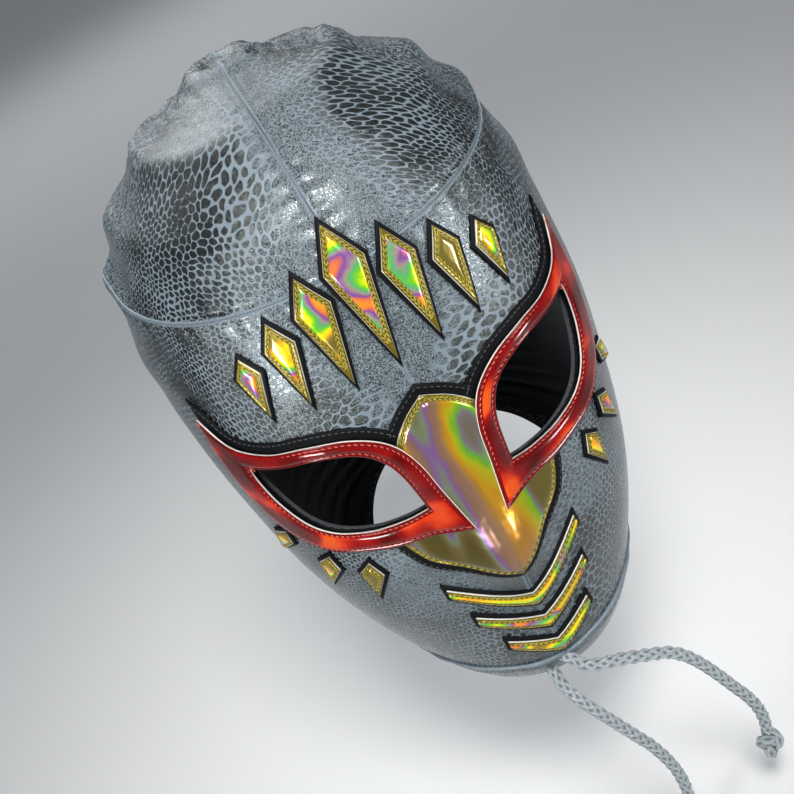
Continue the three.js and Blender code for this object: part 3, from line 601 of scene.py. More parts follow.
def put(name, points, faces, finishes, node=None, layers=None, finish_index=None, smooth=None):
    """One mesh piece from points in millimetres and faces of four corners, which stands for a CAD
    node where one is named. Doubled points are welded, so poles and tips close, and a closed body
    that is inside out is turned. Faces that aren't smooth keep a hard edge round them."""
    a, b, c, d = (points[faces[:, i]] for i in range(4))
    volume = np.sum(a * np.cross(b, c)) + np.sum(a * np.cross(c, d))
    if volume < 0:
        faces = faces[:, ::-1]
    mesh = bpy.data.meshes.new(name)
    mesh.vertices.add(len(points))
    mesh.vertices.foreach_set("co", (points * METRES).astype(np.float32).ravel())
    mesh.loops.add(faces.size)
    mesh.loops.foreach_set("vertex_index", faces.astype(np.int32).ravel())
    mesh.polygons.add(len(faces))
    mesh.polygons.foreach_set("loop_start", np.arange(0, faces.size, 4, dtype=np.int32))
    mesh.polygons.foreach_set("use_smooth", np.ones(len(faces), bool) if smooth is None else smooth)
    if finish_index is not None:
        mesh.polygons.foreach_set("material_index", finish_index.astype(np.int32))
    for layer, values in (layers or {}).items():
        corners = values.reshape(-1, 2)[faces.ravel()]
        mesh.uv_layers.new(name=layer).data.foreach_set("uv", corners.astype(np.float32).ravel())
    mesh.update(calc_edges=True)
    body = bmesh.new()
    body.from_mesh(mesh)
    bmesh.ops.remove_doubles(body, verts=body.verts, dist=1e-6)
    body.to_mesh(mesh)
    body.free()
    for finish in finishes:
        mesh.materials.append(finish)
    piece = bpy.data.objects.new(name, mesh)
    bpy.context.scene.collection.objects.link(piece)
    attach(piece, "root")
    if node:
        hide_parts(node)
    return piece


def grid_faces(rows, columns, closed):
    """Faces of a grid of points, row by row. Where closed, the last column joins the first."""
    index = np.arange(rows * columns).reshape(rows, columns)
    if closed:
        index = np.concatenate([index, index[:, :1]], axis=1)
    return np.stack([index[:-1, :-1], index[1:, :-1], index[1:, 1:], index[:-1, 1:]], axis=-1).reshape(-1, 4)


def capped(rings, *maps):
    """Rings of points closed at both ends by their middles, with their maps drawn out to match."""
    first, last = (np.repeat(ring.mean(axis=0)[None], len(ring), axis=0)[None] for ring in rings[[0, -1]])
    return [np.concatenate([first, rings, last])] + [np.concatenate([m[:1], m, m[-1:]]) for m in maps]


def wall(name, outer, inner, keep, side, layers, node):
    """A closed wall of cloth over a grid: the outer and inner faces where keep is true, and a rim
    along every edge that has no neighbour."""
    rows, columns = outer.shape[:2]
    count = rows * columns
    index = np.arange(count).reshape(rows, columns)
    corners = [index[:-1, :-1], index[1:, :-1], index[1:, 1:], index[:-1, 1:]]
    padded = np.pad(keep, 1)
    beside = [padded[1:-1, :-2], padded[2:, 1:-1], padded[1:-1, 2:], padded[:-2, 1:-1]]
    outside = np.stack(corners, axis=-1)[keep]
    rims = []
    for i in range(4):
        start, end = corners[i], corners[(i + 1) % 4]
        rims.append(np.stack([end, start, start + count, end + count], axis=-1)[keep & ~beside[i]])
    rim = np.concatenate(rims)
    faces = np.concatenate([outside, outside[:, ::-1] + count, rim])
    if side < 0:
        faces = faces[:, ::-1]
    finish = np.concatenate([np.zeros(len(outside)), np.ones(len(outside) + len(rim))])
    smooth = np.arange(len(faces)) < 2 * len(outside)
    points = np.concatenate([outer.reshape(-1, 3), inner.reshape(-1, 3)])
    used, places = np.unique(faces, return_inverse=True)
    both = {key: np.concatenate([value.reshape(-1, 2)] * 2)[used] for key, value in layers.items()}
    finishes = [CLOTH_FINISH, INSIDE]
    faces = places.reshape(faces.shape)
    return put(name, points[used], faces, finishes, node, both, finish, smooth)


# Node helpers for the finishes
class Finish:
    """A material with one shader, and short ways to add the nodes of its pattern."""

    def __init__(self, name, **sockets):
        self.material = bpy.data.materials.new(name)
        self.material.use_nodes = True
        self.tree = self.material.node_tree
        self.shader = self.tree.nodes["Principled BSDF"]
        for socket, value in sockets.items():
            self.set(socket.replace("_", " "), value)

    def give(self, target, value):
        if isinstance(value, bpy.types.NodeSocket):
            self.tree.links.new(value, target)
        elif target.type == "RGBA":
            target.default_value = (*value, 1)
        else:
            target.default_value = value

    def set(self, socket, value):
        self.give(self.shader.inputs[socket], value)

    def node(self, kind, inputs=(), output=0, **settings):
        node = self.tree.nodes.new(kind)
        for key, value in settings.items():
            setattr(node, key, value)
        for key, value in dict(inputs).items():
            self.give(node.inputs[key], value)
        return node if output is None else node.outputs[output]

    def parts(self, vector):
        """The three numbers of a vector."""
        return self.node("ShaderNodeSeparateXYZ", {0: vector}, output=None).outputs

    def blend(self, share, first, second):
        """A number between first and second."""
        return self.node("ShaderNodeMix", {0: share, 2: first, 3: second})

    def vector(self, operation, a, b=(0.0, 0.0, 0.0), c=(0.0, 0.0, 0.0)):
        return self.node("ShaderNodeVectorMath", {0: a, 1: b, 2: c}, operation=operation)

    def length(self, vector):
        return self.node("ShaderNodeVectorMath", {0: vector}, output="Value", operation="LENGTH")

    def uv(self, name):
        return self.node("ShaderNodeUVMap", uv_map=name)

    def place(self):
        return self.node("ShaderNodeTexCoord", output="Object")

    def math(self, operation, a, b=0.0, c=0.0):
        return self.node("ShaderNodeMath", {0: a, 1: b, 2: c}, operation=operation)

    def noise(self, vector, scale, detail=2.0, rough=0.5, distortion=0.0, output="Fac"):
        sockets = {
            "Vector": vector,
            "Scale": scale,
            "Detail": detail,
            "Roughness": rough,
            "Distortion": distortion,
        }
        return self.node("ShaderNodeTexNoise", sockets, output=output)

    def step(self, value, low, high):
        """A soft step from 0 at low to 1 at high."""
        sockets = {"Value": value, "From Min": low, "From Max": high}
        return self.node("ShaderNodeMapRange", sockets, interpolation_type="SMOOTHSTEP")

    def span(self, value, low, high):
        """A value from 0 to 1 stretched from low to high."""
        sockets = {"Value": value, "To Min": low, "To Max": high}
        return self.node("ShaderNodeMapRange", sockets)

    def mix(self, share, first, second):
        sockets = {0: share, 6: first, 7: second}
        return self.node("ShaderNodeMix", sockets, output=2, data_type="RGBA")

    def ramp(self, value, stops):
        node = self.tree.nodes.new("ShaderNodeValToRGB")
        self.tree.links.new(value, node.inputs[0])
        elements = node.color_ramp.elements
        while len(elements) < len(stops):
            elements.new(0.5)
        for element, (position, colour) in zip(elements, stops):
            element.position = position
            element.color = (*colour, 1)
        return node.outputs[0]

    def bump(self, height, distance, strength=1.0, over=None):
        sockets = {"Height": height, "Distance": distance, "Strength": strength}
        if over is not None:
            sockets["Normal"] = over
        return self.node("ShaderNodeBump", sockets)


def scale_rows(f, pattern):
    """Rows of rounded six-sided scales. Their middles are two grids, 1 by 1.732, the second half a
    step on. The value is 0 at the nearest middle and 0.5 half way to the next one."""
    half = (0.5, 0.866, 1.0)
    back = (-0.5, -0.866, -1.0)
    shifted = f.vector("ADD", pattern, (0.5, 0.866, 0.0))
    first = f.vector("WRAP", pattern, half, back)
    second = f.vector("WRAP", shifted, half, back)
    farther = f.math("GREATER_THAN", f.length(first), f.length(second))
    sockets = {"Factor": farther, 4: first, 5: second}
    nearest = f.node("ShaderNodeMix", sockets, output=1, data_type="VECTOR")
    flat = f.parts(f.vector("ABSOLUTE", nearest))
    slanted = f.math("MULTIPLY_ADD", flat[1], 0.866, f.math("MULTIPLY", flat[0], 0.5))
    six_sided = f.math("MAXIMUM", flat[0], slanted)
    return f.blend(0.55, six_sided, f.length(nearest))


def scale_cloth():
    """Foil scales on a pale ground. The pattern map counts scales. The wear map's first value is 1
    where the scales break up into fine specks and -1 where they are drawn out into streaks, and
    its second is 1 where a seam leaves the ground bare."""
    f = Finish("scale_cloth", Specular_IOR_Level=0.75)
    pattern = f.uv("pattern")
    place = f.place()
    wear = f.parts(f.uv("wear"))
    slow = f.vector("MULTIPLY_ADD", f.noise(pattern, 0.4, 1.0, output="Color"), (1.5, 1.5, 0.0), pattern)
    moved = f.vector("MULTIPLY_ADD", f.noise(pattern, 1.2, 1.0, output="Color"), (0.5, 0.5, 0.0), slow)
    middle = scale_rows(f, moved)
    drift = f.span(f.noise(pattern, 0.13, 3.0), 0.66, 0.22)
    ragged = f.span(f.noise(pattern, 2.4, 3.0), -0.09, 0.09)
    limit = f.math("ADD", drift, ragged)
    scales = f.step(f.math("SUBTRACT", limit, middle), -0.014, 0.03)
    streaks = f.noise(f.vector("MULTIPLY", pattern, (3.6, 1.15, 0.0)), 1.0, 3.0, 0.6, 0.4)
    specks = f.step(f.noise(place, 2000.0, 3.0, 0.85), 0.43, 0.57)
    patches = f.span(f.noise(place, 26.0, 3.0), -0.75, 0.75)
    drawn = f.step(f.math("SUBTRACT", patches, wear[0]), 0.35, 0.75)
    worn = f.math("ADD", wear[0], patches)
    cells = f.blend(drawn, scales, f.step(streaks, 0.44, 0.56))
    speckled = f.math("MULTIPLY", cells, f.blend(f.step(worn, 0.12, 0.5), 1.0, specks))
    print_share = f.blend(f.step(worn, 0.5, 0.85), speckled, specks)
    bare = f.step(wear[1], 0.25, 0.8)
    foil = f.math("MULTIPLY", print_share, f.span(bare, 1.0, 0.1))
    tint = f.noise(place, 1300.0, 2.0, 0.8)
    # Foil colour: a grey-green tint that varies at random, kept near black as a painted dark reflection of a
    # dark room mirrored by the shiny foil
    dark = f.mix(f.step(tint, 0.36, 0.66), (0.042, 0.054, 0.06), (0.135, 0.14, 0.13))
    ground = f.mix(f.noise(place, 420.0, 3.0), (0.062, 0.088, 0.11), (0.128, 0.166, 0.192))
    f.set("Base Color", f.mix(foil, ground, dark))
    f.set("Metallic", f.span(foil, 0.05, 0.96))
    rough = f.span(f.noise(place, 160.0, 3.0), -0.07, 0.07)
    f.set("Roughness", f.math("ADD", f.span(foil, 0.42, 0.17), rough))
    knit = f.noise(place, 2600.0, 2.0, 0.6)
    grain = f.bump(knit, 0.0001, 0.28)
    glints = f.bump(f.math("MULTIPLY", specks, f.noise(place, 900.0, 1.0)), 0.00016, 0.36, over=grain)
    f.set("Normal", f.bump(foil, 0.00007, 0.6, over=glints))
    return f.material


def cloth_inside():
    """The cloth's dark knitted reverse."""
    f = Finish("cloth_inside", Roughness=0.9)
    place = f.place()
    fuzz = f.noise(place, 900.0, 4.0, 0.7)
    f.set("Base Color", f.mix(fuzz, (0.012, 0.013, 0.015), (0.035, 0.037, 0.042)))
    f.set("Normal", f.bump(f.noise(place, 2200.0, 2.0), 0.0002, 0.6))
    return f.material


def holographic(name, stops, stretch, edge, wave, coat, metal, drift=0.0):
    """Glossy vinyl with patches of shifting colour and shallow waves. The pattern
    map is in centimetres, stretch says how many patches it has across and along, and drift shifts
    the colours with each centimetre across. Its edge map's first value is the distance from the
    piece's edge in millimetres, where edge colours it."""
    f = Finish(name, Metallic=metal, Coat_Weight=coat, Coat_Roughness=0.035, Specular_IOR_Level=0.1)
    f.set("Coat IOR", 1.38)
    place = f.place()
    pattern = f.vector("MULTIPLY", f.uv("pattern"), (*stretch, 0.0))
    patches = f.noise(pattern, 1.0, 0.0, 0.4, 0.5)
    streaks = f.noise(pattern, 4.5, 3.0, 0.6, 0.5)
    mixed = f.math("ADD", f.math("MULTIPLY", patches, 0.92), f.math("MULTIPLY", streaks, 0.08))
    if drift:
        mixed = f.math("MULTIPLY_ADD", f.parts(f.uv("pattern"))[0], drift, mixed)
    field = f.ramp(f.span(f.math("MULTIPLY_ADD", mixed, 2.4, -0.7), 0.0, 1.0), stops)
    inside = f.step(f.parts(f.uv("edge"))[0], 1.7, 2.15)
    f.set("Base Color", f.mix(inside, edge, field))
    f.set("Roughness", f.span(f.noise(place, 240.0, 3.0), 0.13, 0.27))
    waves = f.noise(place, 110.0, 2.0, 0.5, 0.4)
    f.set("Normal", f.bump(waves, wave, 0.35))
    return f.material


GOLD_EDGE = (0.12, 0.09, 0.008)
GOLD_STOPS = [
    (0.0, (0.13, 0.1, 0.02)),
    (0.15, (0.27, 0.2, 0.03)),
    (0.24, (0.78, 0.30, 0.015)),
    (0.33, (0.86, 0.52, 0.012)),
    (0.42, (0.52, 0.62, 0.01)),
    (0.50, (0.13, 0.44, 0.012)),
    (0.58, (0.07, 0.32, 0.12)),
    (0.65, (0.28, 0.20, 0.17)),
    (0.73, (0.16, 0.055, 0.25)),
    (0.80, (0.5, 0.12, 0.05)),
    (0.88, (0.82, 0.22, 0.02)),
    (1.0, (0.55, 0.36, 0.02)),
]
# Colours of the nose piece: the dark olive at the high end is a painted dark reflection, which the drift puts
# on the piece's right side
NOSE_STOPS = [
    (0.0, (0.07, 0.055, 0.012)),
    (0.13, (0.11, 0.085, 0.03)),
    (0.22, (0.12, 0.15, 0.09)),
    (0.29, (0.14, 0.07, 0.18)),
    (0.37, (0.17, 0.09, 0.06)),
    (0.48, (0.19, 0.11, 0.065)),
    (0.56, (0.29, 0.14, 0.02)),
    (0.64, (0.37, 0.19, 0.008)),
    (0.72, (0.29, 0.28, 0.008)),
    (0.79, (0.1, 0.28, 0.015)),
    (0.86, (0.13, 0.11, 0.12)),
    (1.0, (0.1, 0.078, 0.018)),
]
RED_EDGE = (0.1, 0.002, 0.002)
RED_STOPS = [
    (0.0, (0.05, 0.0, 0.0)),
    (0.3, (0.085, 0.001, 0.001)),
    (0.5, (0.13, 0.002, 0.002)),
    (0.64, (0.15, 0.002, 0.002)),
    (0.76, (0.26, 0.008, 0.002)),
    (0.9, (0.42, 0.028, 0.003)),
    (1.0, (0.46, 0.055, 0.005)),
]


def cut_edge():
    """The pale cut edge of the vinyl."""
    f = Finish("cut_edge", Roughness=0.45)
    f.set("Base Color", f.mix(f.noise(f.place(), 700.0), (0.34, 0.33, 0.3), (0.52, 0.51, 0.48)))
    return f.material


def black_vinyl():
    """Black vinyl with a fine grain and a satin shine."""
    f = Finish("black_vinyl", Specular_IOR_Level=0.06)
    place = f.place()
    grain = f.noise(place, 1400.0, 3.0, 0.6)
    f.set("Base Color", f.mix(grain, (0.0012, 0.0013, 0.0016), (0.005, 0.0053, 0.006)))
    f.set("Roughness", f.span(f.noise(place, 300.0), 0.42, 0.6))
    f.set("Normal", f.bump(grain, 0.00015, 0.35))
    return f.material


def thread(name, low, high, metal, rough):
    """Twisted thread: fine slanted ply and a little change of colour from stitch to stitch."""
    f = Finish(name, Metallic=metal, Roughness=rough, Specular_IOR_Level=0.4)
    place = f.place()
    f.set("Base Color", f.mix(f.noise(place, 650.0, 2.0), low, high))
    ply = f.node("ShaderNodeTexWave", {"Vector": place, "Scale": 1500.0, "Distortion": 2.0}, output="Fac")
    f.set("Normal", f.bump(ply, 0.00008, 0.5))
    return f.material


def braided_cord():
    """Pale cord with painted shade in the crevices of its braid, where the strands sink. The pattern
    map's second value is how high the strands stand."""
    f = Finish("braided_cord", Roughness=0.78, Sheen_Weight=0.15, Sheen_Roughness=0.5)
    place = f.place()
    strand = f.parts(f.uv("pattern"))[1]
    fibre = f.noise(place, 1700.0, 4.0, 0.8)
    soil = f.noise(place, 120.0, 3.0)
    pale = f.mix(f.step(fibre, 0.34, 0.66), (0.12, 0.14, 0.15), (0.32, 0.355, 0.37))
    worn = f.mix(f.span(soil, 0.0, 0.5), pale, (0.2, 0.23, 0.245))
    # Painted shade: near black where the strands sink into the braid's crevices
    f.set("Base Color", f.mix(f.step(strand, 0.1, 0.85), (0.07, 0.085, 0.092), worn))
    f.set("Normal", f.bump(fibre, 0.0003, 0.8))
    return f.material


def floor_finish():
    """A plain floor, painted paler far away: painted light that makes up for the lamps' weaker light there,
    so the floor fades into the sky.
    """
    f = Finish("pale_floor", Roughness=0.75)
    place = f.place()
    near = f.mix(f.noise(place, 3.0), (0.54, 0.545, 0.55), (0.57, 0.575, 0.58))
    # Painted light: paler from about 0.8 m out, so the far floor matches the sky
    f.set("Base Color", f.mix(f.step(f.length(place), 0.8, 6.0), near, (0.88, 0.885, 0.89)))
    return f.material


CLOTH_FINISH = scale_cloth()
INSIDE = cloth_inside()
GOLD = holographic("gold_vinyl", GOLD_STOPS, (0.5, 0.62), GOLD_EDGE, 0.0009, 0.6, 0.4)
# The drift runs the nose piece's colours across it to dark olive on its right side: a painted dark reflection
NOSE_GOLD = holographic("gold_vinyl_nose", NOSE_STOPS, (0.62, 0.16), GOLD_EDGE, 0.0012, 0.6, 0.4, drift=0.115)
RED = holographic("red_vinyl", RED_STOPS, (0.7, 0.7), RED_EDGE, 0.0014, 0.5, 0.0)
CUT_EDGE = cut_edge()
BLACK = black_vinyl()
GOLD_THREAD = thread("gold_thread", (0.13, 0.1, 0.008), (0.36, 0.29, 0.03), 0.1, 0.35)
RED_THREAD = thread("red_thread", (0.26, 0.012, 0.01), (0.62, 0.12, 0.09), 0.0, 0.3)
BLACK_THREAD = thread("black_thread", (0.012, 0.012, 0.014), (0.06, 0.06, 0.066), 0.0, 0.5)
PALE_THREAD = thread("pale_thread", (0.11, 0.15, 0.18), (0.21, 0.26, 0.3), 0.0, 0.55)
CORD_FINISH = braided_cord()


def make_camera():
    """The camera at the photograph's angle, rolled about its own line of sight."""
    place = np.array(CAMERA_PLACE)
    forward = unit(np.array(CAMERA_TARGET) - place)
    level = unit(np.cross(forward, (0, 0, 1)))
    upright = np.cross(level, forward)
    right = level * math.cos(CAMERA_ROLL) + upright * math.sin(CAMERA_ROLL)
    up = upright * math.cos(CAMERA_ROLL) - level * math.sin(CAMERA_ROLL)
    data = bpy.data.cameras.new("camera")
    data.lens = CAMERA_LENS
    data.sensor_width = SENSOR
    data.clip_start = 0.01
    camera = bpy.data.objects.new("camera", data)
    turn = Matrix([[right[i], up[i], -forward[i]] for i in range(3)])
    camera.matrix_world = Matrix.Translation(Vector(place * METRES)) @ turn.to_4x4()
    bpy.context.scene.collection.objects.link(camera)
    bpy.context.scene.camera = camera


def path_frames(path):
    """Two directions square to a path and to each other that don't spin along it."""
    tangent = unit(np.gradient(path, axis=0))
    side = np.zeros(path.shape)
    last = np.cross(tangent[0], (0.3, 1.0, 0.2))
    for i in range(len(path)):
        last = unit(last - tangent[i] * np.dot(last, tangent[i]))
        side[i] = last
    return side, np.cross(tangent, side)


def braided_tube(path, radius, around):
    """A tube along a path. Its radius rises over two families of slanted strands that pass over
    and under each other: the higher of cos(n a + k s) and cos(n a - k s), each swelling and
    sinking by turns. Returns its points, and a map of the share round it and that rise."""
    side, up = path_frames(path)
    angle = np.linspace(0, 2 * math.pi, around, endpoint=False)
    s = lengths_along(path)[:, None] * 2 * math.pi / BRAID_PITCH
    n = BRAID_STRANDS / 2
    swell = 0.35 * np.cos(2 * n * angle + 0 * s)
    one = np.cos(n * angle + s) ** 2 * (1 + swell)
    two = np.cos(n * angle - s) ** 2 * (1 - swell)
    rise = np.maximum(one, two)
    reach = radius * (1 - BRAID_RELIEF + BRAID_RELIEF * rise)
    ring = np.cos(angle)[None, :, None] * side[:, None] + np.sin(angle)[None, :, None] * up[:, None]
    points = path[:, None] + reach[..., None] * ring
    pattern = np.stack([angle / (2 * math.pi) + 0 * rise, rise], axis=-1)
    return points, pattern


def closed_tube(name, rings, pattern, finish, slot, node):
    """A mesh from rings of points, with its two ends closed to their middles."""
    points, pattern = capped(rings, pattern)
    faces = grid_faces(*points.shape[:2], True)
    return put(name, points.reshape(-1, 3), faces, [finish], node, {"pattern": pattern})


def knot_path(direction, start):
    """An overhand knot, pulled tight, in line with the cord: a trefoil curve
    (sin t + 2 sin 2t, cos t - 2 cos 2t, -sin 3t), squeezed along its width."""
    t = np.linspace(0.35, 2 * math.pi - 0.35, 90)
    x = np.sin(t) + 2 * np.sin(2 * t)
    y = np.cos(t) - 2 * np.cos(2 * t)
    z = -np.sin(3 * t)
    local = np.stack([x * 1.05, y * 1.45, z * 1.5], axis=1)
    along = unit(direction)
    side = unit(np.cross(along, (0, 1, 0)))
    front = np.cross(side, along)
    middle = start + along * 0.5 * KNOT_LENGTH
    return middle + local[:, :1] * side - local[:, 1:2] * along + local[:, 2:] * front


def tie_cord(word, route):
    """A tie cord and its knot. The start runs on straight into the hem."""
    seen = np.array(route) / METRES
    start = seen[0] - CORD_TUCK * unit(seen[1] - seen[0])
    points = smooth_line(np.concatenate([[start], seen]), count=440)
    direction = unit(points[-1] - points[-4])
    tied = knot_path(direction, points[-1] - 0.4 * direction)
    rows = (("braided_cord", "tie_cord", points, 40), ("overhand_knot", "tie_knot", tied, 32))
    for name, node, path, around in rows:
        tube = braided_tube(path, 0.5 * CORD_DIAMETER, around)
        closed_tube(f"{name}_{word}", *tube, CORD_FINISH, "braided_cord", f"{node}_{word}")


make_camera()
tie_cord("right", CORD_RIGHT)
tie_cord("left", CORD_LEFT)


# The print: its scales are largest at a place out from the middle seam and at a level, and shrink
# away from there in bands. Sizes are millimetres and turns are degrees.
PRINTS = {
    # side and panel: turn, largest out, largest along, scale width, scale height
    (-1, "crown"): (32, 16, 60, 3.1, 2.9),
    (1, "crown"): (-12, 42, 30, 3.6, 2.3),
    (-1, "face"): (14, 10, 150, 2.9, 2.5),
    (1, "face"): (-10, 22, 140, 3.0, 2.6),
}
BAND_CHANGE = (0.5, 0.25)
BAND_PITCH = (96.0, 120.0)


def print_map(flat, side, panel):
    """Counts scales from flat millimetres. The print is turned about its place of largest scales,
    and each count is (x - c sin(k x) / k) / size, so the scales shrink away from there."""
    turn, out, along, width, height = PRINTS[side, panel]
    cos, sin = math.cos(math.radians(turn)), math.sin(math.radians(turn))
    x = flat[..., 0] - side * out
    y = flat[..., 1] - along
    counts = []
    for value, pitch, change, size in (
        (x * cos - y * sin, BAND_PITCH[0], BAND_CHANGE[0], width),
        (x * sin + y * cos, BAND_PITCH[1], BAND_CHANGE[1], height),
    ):
        k = 2 * math.pi / pitch
        counts.append((value - change * np.sin(k * value) / k) / size)
    return np.stack(counts, axis=-1) + 40


def wear_map(angle, row):
    """The share of broken scales, high over the forehead and beside the middle seam, less the
    share of drawn-out ones at the sides, and the bare ground along the seams."""
    along = along_at(row)
    across = angle * radius_at(row)
    forehead = bell(across, 0, 30) * bell(along, 118, 34)
    seam = 0.8 * bell(across, 0, 9) + 0.5 * bell(across, 16, 12) * bell(along, 60, 40)
    cheeks = 0.4 * bell(np.abs(across), 34, 16) * bell(along, 212, 16)
    chin = 0.35 * bell(across, 0, 40) * bell(along, 225, 24)
    middle, crown = seam_distances(angle, row)
    bare = bell(np.minimum(middle, crown), 0, 0.9)
    sides = bell(np.abs(angle), 1.5, 0.5)
    return np.stack([np.clip(forehead + seam + cheeks + chin, 0, 1) - sides, bare], axis=-1)


def edge_distance(points, outline):
    """The distance from flat points to a closed outline, positive inside it, with the nearest
    points on it."""
    start = outline
    span = np.roll(outline, -1, axis=0) - start
    offset = points[:, None] - start
    share = np.clip(np.sum(offset * span, axis=2) / np.sum(span**2, axis=1), 0, 1)
    nearest = start + share[..., None] * span
    gap = np.linalg.norm(points[:, None] - nearest, axis=2)
    best = np.argmin(gap, axis=1)
    everyone = np.arange(len(points))
    y0, y1 = start[:, 1], start[:, 1] + span[:, 1]
    crosses = (y0 > points[:, None, 1]) != (y1 > points[:, None, 1])
    slope = span[:, 0] / np.where(span[:, 1] == 0, 1e-9, span[:, 1])
    hit = start[:, 0] + (points[:, None, 1] - y0) * slope
    inside = np.sum(crosses & (points[:, None, 0] < hit), axis=1) % 2 == 1
    distance = gap[everyone, best]
    return np.where(inside, distance, -distance), nearest[everyone, best]


def eye_edge(side, rows, count):
    """One edge of an eye shape from its table, without its last point."""
    points = np.array(rows) * (EYE_SPAN, EYE_HEIGHT) + (EYE_INSET, EYE_LEVEL)
    return smooth_line(points, count + 1)[:-1] * (side, 1)


def eye_outline(side, upper, lower, count):
    return np.concatenate([eye_edge(side, upper, count), eye_edge(side, lower, count)])


def eye_trim_outline(side, count):
    return eye_outline(side, TRIM_UPPER_EDGE, TRIM_LOWER_EDGE, count)


def eye_hole_outline(side, count):
    rim = (HOLE_UPPER_EDGE[2][1] - TRIM_UPPER_EDGE[3][1]) * EYE_HEIGHT
    return grow(eye_outline(side, HOLE_UPPER_EDGE, HOLE_LOWER_EDGE, count), rim - EYE_RIM)[0]


def eye_backing_outline(side, count):
    """The backing shows more above the trim than below it."""
    outline = eye_trim_outline(side, count)
    outwards = grow(outline, 0)[1]
    above = np.clip((-outwards[:, 1] + 0.4) / 1.0, 0, 1)
    above = above * above * (3 - 2 * above)
    return grow(outline, EYE_LOWER_BORDER + (EYE_UPPER_BORDER - EYE_LOWER_BORDER) * above)[0]


def crown_panel(side, word):
    """One side of the crown, from the middle seam round to the back. The grid runs round and down
    from the top, closer beside the seams: t - 0.8 sin(2 pi t) / 2 pi round and 1 - (1 - t)^1.7
    down. The inner face lies a cloth's thickness inside."""
    even = np.linspace(0, 1, 230)[None, :]
    turn = math.pi * even - 0.4 * np.sin(2 * math.pi * even)
    share = 1 - (1 - np.linspace(0, 1, 120)[:, None]) ** 1.7
    seam = row_at(seam_level(turn))
    row = share * (seam - 0.003)
    angle = side * (turn + 0 * row)
    row = row + 0 * turn
    relief = worn_relief(angle, row)
    outer = cloth(angle, row, relief)
    inner = cloth(angle, row, relief - CLOTH)
    for face in (outer, inner):
        face[..., 0] = side * np.maximum(side * face[..., 0], JOIN_GAP)
    along = along_at(row)
    flat = np.stack([along * np.sin(angle), along * np.cos(angle)], axis=-1)
    layers = {"pattern": print_map(flat, side, "crown"), "wear": wear_map(angle, row)}
    keep = np.ones((row.shape[0] - 1, row.shape[1] - 1), dtype=bool)
    return wall(f"crown_cloth_{word}", outer, inner, keep, side, layers, f"crown_panel_{word}")


def face_panel(side, word):
    """One side of the face, from the middle seam to the back opening and from the crown seam to
    the hem, with the eye opening cut out. Grid points that fall inside the opening's edge are
    drawn out to it."""
    share = np.linspace(0, 1, 225)[None, :] ** 1.35
    level = np.linspace(0, 1, 170)[:, None] ** 1.3
    widest = back_angle(row_at(seam_level(math.pi)), 0.5 * SEAM_GAP)
    top = row_at(seam_level(share * widest)) + 0.003
    row = top + level * (LAST_ROW - top)
    angle = side * share * back_angle(row, 0.5 * SEAM_GAP)
    radius = radius_at(row)
    flat = np.stack([angle * radius, along_at(row)], axis=-1)
    hole = eye_hole_outline(side, 40)
    inside, nearest = edge_distance(flat.reshape(-1, 2), hole)
    inside = inside.reshape(row.shape)
    nearest = nearest.reshape(flat.shape)
    cut = inside > 0
    keep = ~(cut[:-1, :-1] & cut[1:, :-1] & cut[1:, 1:] & cut[:-1, 1:])
    flat = np.where(cut[..., None], nearest, flat)
    row = np.where(cut, row_at(flat[..., 1]), row)
    angle = np.where(cut, flat[..., 0] / radius_at(row), angle)
    relief = worn_relief(angle, row)
    calm = 1 - bell(np.minimum(inside, 0), 0, 9)
    relief = np.where(np.abs(flat[..., 0]) < 60, relief * calm, relief)
    outer = cloth(angle, row, relief)
    inner = cloth(angle, row, relief - CLOTH)
    for face in (outer, inner):
        face[..., 0] = side * np.maximum(side * face[..., 0], JOIN_GAP)
    layers = {"pattern": print_map(flat, side, "face"), "wear": wear_map(angle, row)}
    return wall(f"face_cloth_{word}", outer, inner, keep, side, layers, f"face_panel_{word}")


# The turned hem's cross-section: millimetres up from the edge, and height over the cloth
HEM_PROFILE = np.array(
    [
        (16.0, -0.6),
        (16.0, 0.5),
        (15.6, 0.85),
        (15.0, 0.95),
        (14.2, 0.75),
        (13.6, 0.55),
        (13.0, 0.75),
        (12.0, 0.95),
        (8.0, 1.05),
        (4.0, 1.1),
        (1.2, 1.05),
        (0.4, 0.8),
        (0.0, 0.2),
        (0.0, -1.0),
        (0.6, -1.7),
        (4.0, -1.8),
        (10.0, -1.7),
    ]
)


def hem_band(side, word):
    """The turned hem: its cross-section carried round the neck edge."""
    turn = np.linspace(0, 1, 190)[:, None]
    level = HEM_LEVEL - HEM_PROFILE[None, :, 0]
    row = row_at(level) + 0 * turn
    angle = side * turn * back_angle(row, 0.0)
    height = HEM_PROFILE[None, :, 1]
    ripple = 0.18 * np.sin(angle * radius_at(row) / 2.7 + 1.3 * np.sin(angle * 9))
    points = cloth(angle, row, height + ripple * bell(level, HEM_LEVEL - HEM_STITCH, 5) + 0 * angle)
    points[..., 0] = side * np.maximum(side * points[..., 0], 0.05)
    pattern = print_map(np.stack([angle * radius_at(row), level + 0 * angle], axis=-1), side, "face")
    wear = wear_map(angle, row)
    wear[..., 1] = np.maximum(wear[..., 1], bell(level, HEM_LEVEL - HEM_WIDTH, 1.3))
    points, pattern, wear = capped(points, pattern, wear)
    faces = grid_faces(*points.shape[:2], True)
    layers = {"pattern": pattern, "wear": wear}
    name, node = f"turned_hem_{word}", f"hem_band_{word}"
    return put(name, points.reshape(-1, 3), faces, [CLOTH_FINISH], node, layers)


# Where a vinyl piece's cross-section has its points, in millimetres from the nearer edge
EDGE_LEVELS = np.array([0.0, 0.12, 0.3, 0.6, 0.95, 1.3, 1.6, 1.95, 2.5])


